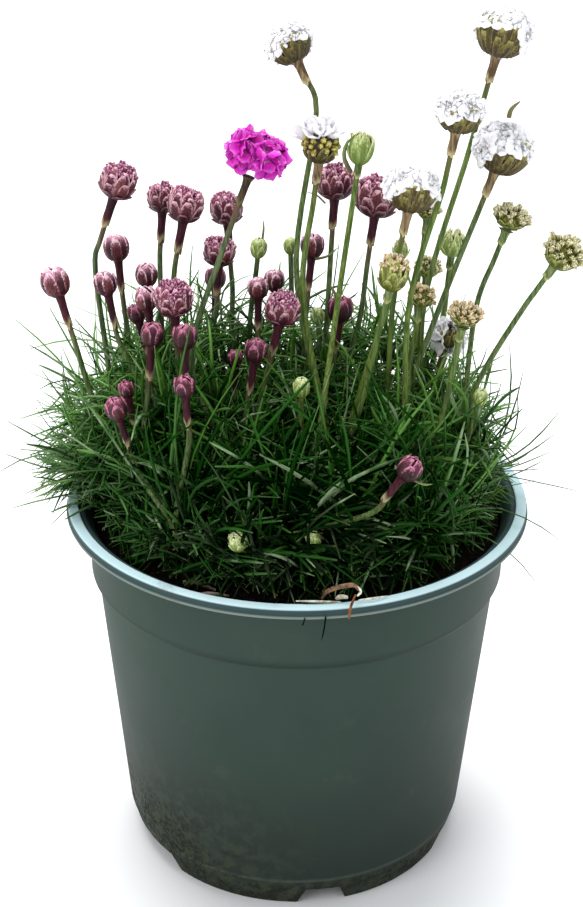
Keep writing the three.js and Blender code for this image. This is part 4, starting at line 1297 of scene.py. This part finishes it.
# Rings of a plump calyx and of two florets whose tips stand out of it: height, reach, ribs, paleness
CALYX_RINGS = [
    (-1.4, 0.4, 0.0, 0.0), (-0.5, 0.85, 0.03, 0.3), (0.5, 1.0, 0.04, 0.5), (1.4, 0.8, 0.05, 0.7),
    (1.9, 0.34, 0.05, 0.9),
]
LOBED_RINGS = [
    (-1.0, 0.36, 0.0, 0.0), (0.0, 0.74, 0.05, 0.1), (0.9, 0.9, 0.12, 0.36), (1.5, 0.82, 0.22, 0.72),
    (1.9, 0.56, 0.3, 1.0), (1.8, 0.2, 0.2, 0.7),
]
CRINKLED_RINGS = [
    (-1.0, 0.36, 0.0, 0.0), (-0.2, 0.82, 0.06, 0.2), (0.6, 0.9, 0.12, 0.42), (1.3, 0.74, 0.24, 0.72),
    (2.1, 0.66, 0.4, 1.0), (2.3, 0.24, 0.3, 0.8),
]
PINK_FLORET = knob("pink_floret", PINK_TIP, LOBED_RINGS, 0.12)
CREAM_FLORET = knob("cream_floret", CREAM_TIP, CRINKLED_RINGS, 0.14)
CALYX_FLORET = knob("calyx_floret", CALYX, CALYX_RINGS)
MAGENTA_FLORET = open_floret("magenta_floret", 0.09, 0.1, MAGENTA_PETAL)
CUPPED_FLORET = open_floret("cupped_floret", 0.05, 1.1, WHITE_PETAL)
LOOSE_FLORET = open_floret("loose_floret", 0.12, 0.3, WHITE_PETAL)
WHITE_FLORET = cushion_floret("white_floret", WHITE_PETAL)
TEMPLATES = (
    PINK_FLORET, CREAM_FLORET, CALYX_FLORET, MAGENTA_FLORET, CUPPED_FLORET, LOOSE_FLORET, WHITE_FLORET)


def ball_core(surface, radius, squash, edge=0.0, shift=Vector((0, 0, 0))):
    """A plain ball inside a head, so that nothing shows through it."""
    rings = []
    for step in range(1, 9):
        polar = math.pi * (1 - step / 9)
        ring = ring_of(radius * math.sin(polar), radius * squash * math.cos(polar), 16)
        rings.append([(x + shift.x, y + shift.y, z + shift.z, edge, 0.2 + edge) for x, y, z in ring])
    surface.solid(rings)


def bract(surface, profile, turn, low, high, half_angle, lift, point, flare, mood):
    """A bract that lies on a bud. The profile gives the bud's reach, height and slope."""
    rows, columns = 8, 7
    points = []
    for row in range(rows):
        share = row / (rows - 1)
        at = mix(low, high, share)
        reach, height, polar = profile(at)
        half = half_angle * (1 - share ** 3 * point)
        line = []
        for column in range(columns):
            side = column / (columns - 1) * 2 - 1
            angle = turn + side * half
            proud = lift * (1 - side * side * 0.75) * (0.5 + 0.5 * share) + BRACT_THICKNESS
            proud += flare * share ** 3
            place = around(reach + proud * math.sin(polar), angle, height + proud * math.cos(polar))
            line.append((*place, max(abs(side) ** 1.5, share ** 4), at, mood))
        points.append(line)
    surface.blade(points, BRACT_THICKNESS)


def bud_profile(width, tall, full=0.8):
    """Reach, height and slope of a closed bud from its foot, at 0, to its top, at 1."""
    half = width / 2

    def at(share):
        polar = math.pi * (1 - share)
        reach = half * 0.88 * max(math.sin(polar), 0.0) ** full
        return reach, half * (tall * math.cos(polar) + 0.06), polar

    return at


def add_sheath(surface, flower, draw):
    """A papery tube round the stem, wide under the head and hanging in ragged points."""
    top = -flower.width * 0.34
    length = flower.sheath + flower.width * 0.08 + (1.5 if flower.width < BIG_BUD else 0.5)
    thick = 1.1 if flower.kind == "magenta" else mix(1.08, 1.34, clamped((flower.width - 6) / 6))
    count = 16
    drops = [1 - 0.22 * abs(math.sin(index * math.pi * 2.5 / count + draw())) for index in range(count)]
    rings = []
    for share, wider in ((1.0, -0.02), (0.88, 0.04), (0.6, 0.0), (0.35, 0.04), (0.14, 0.22), (0.0, 0.9)):
        ring = []
        for angle, drop in zip(circle(count), drops):
            out = thick * (1 + wider) + 0.06 * math.sin(angle * 3 + share * 5)
            ring.append((*around(out, angle, top - length * share * drop), 0.5, share))
        rings.append(ring)
    surface.solid(rings, 1)


@dataclass
class Closed:
    """How one kind of closed head is built: tiers of bracts, and the florets that show above them.

    Squash and full shape the bud, lift and flare raise its bracts, and rise turns its florets up.
    """

    tiers: list
    squash: float
    full: float
    lift: float
    flare: float
    florets: int = 0
    lowest: float = 0.0
    size: float = 0.0
    core: float = 0.0
    rise: float = 0.0


# Each tier: its bracts' start and end, from the foot at 0 to the top at 1, count, half angle and point
ROSEBUD = Closed(
    [(0.42, 0.99, 3, 0.95, 0.4), (0.26, 0.95, 4, 0.74, 0.5), (0.06, 0.8, 4, 0.72, 0.65)],
    0.96, 0.78, 0.55, 0.25, core=0.45)
PINK_CROWN = Closed([
    (0.34, 0.78, 8, 0.44, 0.7), (0.22, 0.66, 8, 0.44, 0.7), (0.1, 0.52, 7, 0.48, 0.7),
    (0.03, 0.36, 6, 0.56, 0.7)], 0.92, 0.7, 0.45, 0.22, 38, 0.14, 1.35, 0.0, 0.42)
GREEN_CROWN = Closed(
    [(0.14, 0.5, 8, 0.46, 0.8), (0.03, 0.36, 6, 0.56, 0.8)], 0.84, 1.0, 0.35, 0.3, 46, -0.3, 0.98, 0.3, 0.25)
FLAT_CROWN = Closed(
    [(0.16, 0.46, 8, 0.46, 0.8), (0.03, 0.34, 6, 0.56, 0.8)], 0.64, 1.3, 0.35, 0.3, 46, -0.2, 0.98, 0.3, 0.35)
OVATE_CROWN = Closed(
    [(0.3, 0.8, 6, 0.55, 0.85), (0.12, 0.62, 6, 0.55, 0.85), (0.03, 0.4, 6, 0.56, 0.8)],
    1.12, 0.9, 0.4, 0.2, 24, 0.3, 1.1, 0.3, 0.4)
SPREADING = Closed(
    [(0.34, 0.94, 6, 0.4, 0.95), (0.16, 0.9, 6, 0.42, 0.95), (0.03, 0.6, 6, 0.5, 0.95)],
    1.0, 0.9, 0.3, 0.75, 12, 0.5, 1.0, 0.4, 0.5)
SPEARS = Closed(
    [(0.3, 0.96, 5, 0.5, 0.95), (0.14, 0.94, 5, 0.5, 0.95), (0.03, 0.7, 5, 0.5, 0.92)],
    1.16, 0.9, 0.35, 0.6, 9, 0.62, 1.1, 0.4, 0.6)
YOUNG_BUD = Closed(
    [(0.4, 0.97, 5, 0.8, 0.5), (0.2, 0.9, 5, 0.7, 0.7), (0.05, 0.7, 5, 0.66, 0.85)], 1.2, 0.85, 0.3, 0.12)
# The build of each green bud that isn't a plain crown, and the buds that are peach and cream
GREEN_BUILDS = {
    "green_bud_01": FLAT_CROWN, "green_bud_03": SPEARS, "green_bud_05": SPREADING,
    "green_bud_06": FLAT_CROWN, "green_bud_08": OVATE_CROWN, "green_bud_09": SPEARS,
}
PEACH_BUDS = ("green_bud_06", "green_bud_08", "green_bud_10")


@dataclass
class Open:
    """How one kind of open head is built.

    Size, reach and base are shares of the head's width. Knobs is the finish of closed calyxes.
    """

    template: bpy.types.Object
    slot: str
    florets: int
    size: float
    reach: float
    core: float
    lowest: float
    squash: float
    tilt: float
    sheath: bpy.types.Material
    base: float
    knobs: bpy.types.Material = None


CUSHIONS = Open(WHITE_FLORET, "white_petal", 90, 0.2, 0.4, 1.0, -0.7, 0.8, 0.2, WHITE_SHEATH, 0.84)
OPEN_BUILDS = {
    "magenta_bloom_01": Open(
        MAGENTA_FLORET, "magenta_petal", 21, 0.25, 0.31, 0.84, -0.4, 0.58, 0.35, DARK_SHEATH, 0.46),
    "white_bloom_02": Open(
        CUPPED_FLORET, "white_petal", 52, 0.32, 0.25, 0.6, -0.7, 0.84, 0.3, WHITE_SHEATH, 0.96, BEAD),
    "white_bloom_07": Open(
        LOOSE_FLORET, "white_petal", 17, 0.34, 0.26, 0.7, -0.9, 0.9, 0.5, WHITE_SHEATH, 0.58),
}


def closed_head(flower, make, bracts, sheath, template=None, tips=None):
    """A closed head with its sheath and, where its kind has them, florets above its bracts."""
    draw = flower.draws(31, 7, 11)
    half = flower.width / 2
    surface = Surface()
    profile = bud_profile(flower.width * 0.97, make.squash, make.full)
    ball_core(surface, half * (0.8 if make.florets else 0.9), make.squash, make.core)
    turn = draw(0, 6.28)
    for tier, (low, high, count, arc, point) in enumerate(make.tiers):
        turn += 0.8
        for step in circle(count):
            angle = turn + step + draw(-0.14, 0.14)
            reach = min(0.998, high + draw(-0.07, 0.03))
            lift = make.lift * min(1.0, half / 4) * draw(0.8, 1.2)
            bract(surface, profile, angle, low, reach, arc, lift, point, make.flare * tier, draw() ** 2)
    if flower.sheath:
        add_sheath(surface, flower, draw)
    if not make.florets:
        return show(flower.name, surface.mesh(flower.name, [bracts, sheath], flower.placing))
    count = max(5, int(make.florets * (half / 6) ** 1.1))
    size = make.size * (half / 6) ** 0.5
    reach = half * (0.58 if flower.kind == "pink" else 0.76)
    seats = seats_on_ball(count, reach, 1.0, make.lowest, size, draw, make.squash, 0.4, 0.3)
    seats = [(place, way.lerp(UP, make.rise).normalized(), *rest) for place, way, *rest in seats]
    return with_florets(flower, surface, [bracts, sheath], seats, template, tips, flower.name)


def with_florets(flower, surface, finishes, seats, template, finish, name):
    """A head's body with a floret on each seat. A seat is its place, outward way, size and spin."""
    body = surface.mesh(name, finishes, flower.placing)
    count = len(body.vertices)
    work = bpy.data.meshes.new(name)
    places = [tuple(vertex.co) for vertex in body.vertices]
    places += [tuple((flower.placing @ place) * MM) for place, *_ in seats]
    work.from_pydata(places, [], [list(face.vertices) for face in body.polygons])
    for part in finishes:
        work.materials.append(part)
    work.polygons.foreach_set("material_index", [face.material_index for face in body.polygons])
    work.polygons.foreach_set("use_smooth", [True] * len(body.polygons))
    draw = flower.draws(17, 5, 3)
    rows = surface.values + [(0, 0, draw(0, 0.6)) for _ in seats]
    for key, values in zip(Surface.VALUES, np.array(rows, float).T):
        store(work, key, "FLOAT", "POINT", values.tolist())
    ways = [0.0, 0.0, 1.0] * count
    sizes = [1.0] * 3 * count
    spins = [0.0] * count
    for _, way, size, spin in seats:
        ways.extend(flower.turn @ way)
        sizes.extend(size)
        spins.append(spin)
    store(work, "seat", "BOOLEAN", "POINT", [False] * count + [True] * len(seats))
    store(work, "out", "FLOAT_VECTOR", "POINT", ways)
    store(work, "size", "FLOAT_VECTOR", "POINT", sizes)
    store(work, "spin", "FLOAT", "POINT", spins)
    values = {"Floret": template, "Floret size": MM, "Finish": finish}
    return FLORET_TREE.run(show(name, work), values)


def seats_on_ball(count, reach, top, bottom, size, draw, squash, tilt, vary):
    """Seats in a spiral over a ball, between two shares of its height."""
    made = []
    for index in range(count):
        height = mix(top, bottom, (index + 0.5) / count)
        ring = math.sqrt(max(0.0, 1 - height * height))
        way = Vector(around(ring, index * GOLDEN_ANGLE + draw(-0.12, 0.12), height))
        place = Vector((way.x * reach, way.y * reach, way.z * reach * squash)) * draw(0.94, 1.06)
        leaning_way = way + Vector([draw(-tilt, tilt) for _ in range(3)])
        stretch = Vector([draw(1 - vary, 1 + vary) for _ in range(3)])
        made.append((place, leaning_way.normalized(), stretch * size * draw(0.9, 1.1), draw(0, 6.28)))
    return made


def closed_way(flower):
    """The way to a bloom's closed side, in the head's own directions."""
    side = Vector(CLOSED_SIDES[flower.name][0]).normalized()
    return flower.turn.normalized().inverted() @ side


def on_side(flower, way):
    """How far a way out of the head is past the line where the bloom's closed side begins."""
    return way.normalized().dot(closed_way(flower)) - CLOSED_SIDES[flower.name][1]


def bloom_petals(flower, make):
    """The open florets of a bloom, on all but its closed side."""
    draw = flower.draws(11, 3, 9)
    surface = Surface()
    reach = flower.width * make.reach
    shift = closed_way(flower) * flower.width * -0.06
    ball_core(surface, reach * make.core, make.squash * 0.95, shift=shift)
    size = flower.width * make.size
    seats = seats_on_ball(make.florets, reach, 1.0, make.lowest, size, draw, make.squash, make.tilt, 0.15)
    seats = [seat for seat in seats if on_side(flower, seat[0]) < draw(-0.12, 0.12)]
    finish = make.template.data.materials[0]
    return with_florets(flower, surface, [finish], seats, make.template, finish, f"{flower.name}_florets")


def strip_end(flower, angle, low, high):
    """How far up a calyx strip runs from its foot before it leaves the bloom's closed side."""
    top = low
    while top < high:
        polar = math.pi * (1 - top)
        way = Vector(around(math.sin(polar), angle, math.cos(polar)))
        if on_side(flower, way) < 0.04:
            break
        top += 0.03
    return top


def bloom_base(flower, make):
    """A bloom's sheath and bracts, and the calyx strips or closed calyxes on its closed side."""
    draw = flower.draws(7, 1, 2)
    surface = Surface()
    half = flower.width / 2 * make.base
    ball_core(surface, half * 0.76, 0.98, shift=closed_way(flower) * half * 0.08)
    profile = bud_profile(half * 1.84, 1.0)
    turn = draw(0, 6.28)
    for low, high, count in () if make.knobs else CALYX_TIERS:
        turn += 0.22
        for step in circle(count):
            angle = turn + step + draw(-0.08, 0.08)
            top = strip_end(flower, angle, low, high)
            if top > low + 0.12:
                end = top - draw(0, 0.2) * (top - low)
                bract(surface, profile, angle, low, end, 0.22, 1.2, 0.45, 0.45, draw())
    for low, high, count in ((0.1, 0.42, 8), (0.03, 0.3, 6)):
        turn += 0.4
        for step in circle(count):
            end = high + draw(-0.06, 0.05)
            bract(surface, profile, turn + step, low, end, 0.45, 0.4, 0.85, 0.2, draw() * 0.5)
    add_sheath(surface, flower, draw)
    name = f"{flower.name}_calyx"
    finishes = [CALYX, make.sheath]
    if not make.knobs:
        return show(name, surface.mesh(name, finishes, flower.placing))
    seats = seats_on_ball(44, half * 0.68, 0.4, -0.88, half * 0.15, draw, 0.9, 0.3, 0.15)
    seats = [seat for seat in seats if on_side(flower, seat[0]) > -0.2]
    return with_florets(flower, surface, finishes, seats, CALYX_FLORET, make.knobs, name)


def settle(piece, slot, *nodes):
    """The piece rides on the pot and stands for its nodes. Its slot is not used."""
    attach(piece, "root")
    if nodes:
        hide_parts(*nodes)
    return piece


def add_pink_bud(flower):
    """A closed pink head: a crown of florets if it is big, else a rosebud."""
    make = PINK_CROWN if flower.width > BIG_BUD else ROSEBUD
    bracts = PINK_BRACT if make is PINK_CROWN else BUD_BRACT
    if flower.head.z < SHADED_BELOW:
        bracts = SHADED_BRACT
    piece = closed_head(flower, make, bracts, PINK_SHEATH, PINK_FLORET, PINK_TIP)
    settle(piece, "pink_bracts", flower.name).name = f"{flower.name}_head"


def add_green_bud(flower):
    """A closed green head with cream or peach tips."""
    make = GREEN_BUILDS.get(flower.name, GREEN_CROWN)
    tips = PEACH_TIP if flower.name in PEACH_BUDS else CREAM_TIP
    bracts = YOUNG_BRACT if make in (SPEARS, SPREADING) else GREEN_BRACT
    piece = closed_head(flower, make, bracts, GREEN_SHEATH, CREAM_FLORET, tips)
    settle(piece, "green_bracts", flower.name).name = f"{flower.name}_head"


def add_bloom(flower):
    """An open head: its florets, and its base with the sheath."""
    make = OPEN_BUILDS.get(flower.name, CUSHIONS)
    settle(bloom_petals(flower, make), make.slot, f"{flower.name}_petals")
    settle(bloom_base(flower, make), "bloom_base", f"{flower.name}_base")


def add_crumbs(soil):
    """Loose crumbs on top of the compost."""
    draw = seeded(CRUMB_SEED)
    rings = []
    for height, reach in ((-0.7, 0.5), (-0.1, 1.0), (0.45, 0.8)):
        waves = [draw(0.7, 1.2) for _ in range(6)]
        ring = zip(ring_of(reach, height, 6), waves)
        rings.append([(x * wave, y * wave, z * draw(0.8, 1.2)) for (x, y, z), wave in ring])
    surface = Surface()
    surface.solid(rings)
    crumb = show("crumb", surface.mesh("crumb", [SOIL], scale=1.0))
    crumb.hide_render = True
    on_top = [face.center.z > CRUMBS_ABOVE * MM for face in soil.data.polygons]
    store(soil.data, "top", "BOOLEAN", "FACE", on_top)
    soil = CRUMB_TREE.run(soil, {
        "Crumb": crumb, "Spacing": CRUMB_SPACING * MM, "Density": CRUMB_DENSITY, "Crumb size": MM,
        "Seed": CRUMB_TREE_SEED, "Finish": SOIL})
    bpy.data.objects.remove(crumb)
    return soil


def withered_leaf():
    """A curled brown leaf over the front of the rim, and dry scraps and leaves beside it."""
    strands = Strands()
    for corners, width, pale in WITHERED_STRIPS:
        widths = [width * math.sin(math.pi * (0.12 + 0.76 * index / 13)) ** 0.6 for index in range(14)]
        strands.add(smooth_path(corners, 14), widths, tilt=0.3, pale=pale)
    return strands.piece("withered_leaf_curl", 6, 0.3, WITHERED)


def loose_bracts():
    """Slender bracts that stand off the heads, and near-black strips of painted shadow under the rim."""
    strands = Strands()
    for corners, width, pale in SLENDER_BRACTS:
        widths = [width * (1 - 0.8 * (index / 7) ** 3) for index in range(8)]
        strands.add(smooth_path(corners, 8), widths, shade=min(1.0, pale * 2), pale=pale, dry=pale)
    return strands.piece("slender_bracts", 6, 0.4, LEAF)


settle(grow_pot(), "pot_plastic", "grow_pot")
settle(add_crumbs(compost()), "compost", "compost")
for plant, piece in leaves().items():
    settle(piece, "leaf_green", f"{plant}_thrift_greens")
    settle(stems(plant), "leaf_green")
ADD_HEAD = {"pink": add_pink_bud, "green": add_green_bud, "white": add_bloom, "magenta": add_bloom}
for flower in FLOWERS:
    ADD_HEAD[flower.kind](flower)
for flower in YOUNG:
    settle(closed_head(flower, YOUNG_BUD, YOUNG_BRACT, STEM), "leaf_green")
settle(withered_leaf(), "withered_leaf", "dry_leaf")
settle(loose_bracts(), "leaf_green")
for template in TEMPLATES:
    bpy.data.objects.remove(template)


# Floor and light


def add_floor():
    """A pale floor for the camera only."""
    surface = Surface()
    surface.grid([[(-FLOOR, -FLOOR, 0), (FLOOR, -FLOOR, 0)], [(-FLOOR, FLOOR, 0), (FLOOR, FLOOR, 0)]])
    made = Finish("studio floor", 0.9, 0.1)
    made.color(made.blend(made.noise(6, 2), (238, 238, 238), (244, 244, 244)))
    show("studio_floor", surface.mesh("floor", [made.made]))


def add_light(name, kind, place, power, width, aim=(0, 0, 0.15)):
    """A lamp that looks at its aim. Width is a disk's in metres, or a sun's in degrees."""
    data = bpy.data.lights.new(name, kind)
    data.energy = power
    if kind == "SUN":
        data.angle = math.radians(width)
    else:
        data.shape = "DISK"
        data.size = width
    lamp = show(name, data)
    way = Vector(aim) - Vector(place)
    lamp.matrix_world = Matrix.Translation(place) @ way.to_track_quat("-Z", "Y").to_matrix().to_4x4()


def add_sky():
    """Even light from a slightly blue sky."""
    world = bpy.data.worlds.new("studio")
    world.use_nodes = True
    sky = world.node_tree.nodes["Background"]
    sky.inputs["Color"].default_value = (0.93, 0.96, 1.0, 1.0)
    sky.inputs["Strength"].default_value = 0.8
    bpy.context.scene.world = world


add_floor()
add_sky()
add_light("key", "SUN", (-0.12, 0.35, 1.35), 3.3, 40)
add_light("back fill", "AREA", (0.8, 0.4, 0.8), 1, 0.7)
add_light("front fill", "AREA", (-1.05, -0.95, 0.9), 7.5, 0.9)
bpy.context.scene.view_settings.view_transform = "Standard"
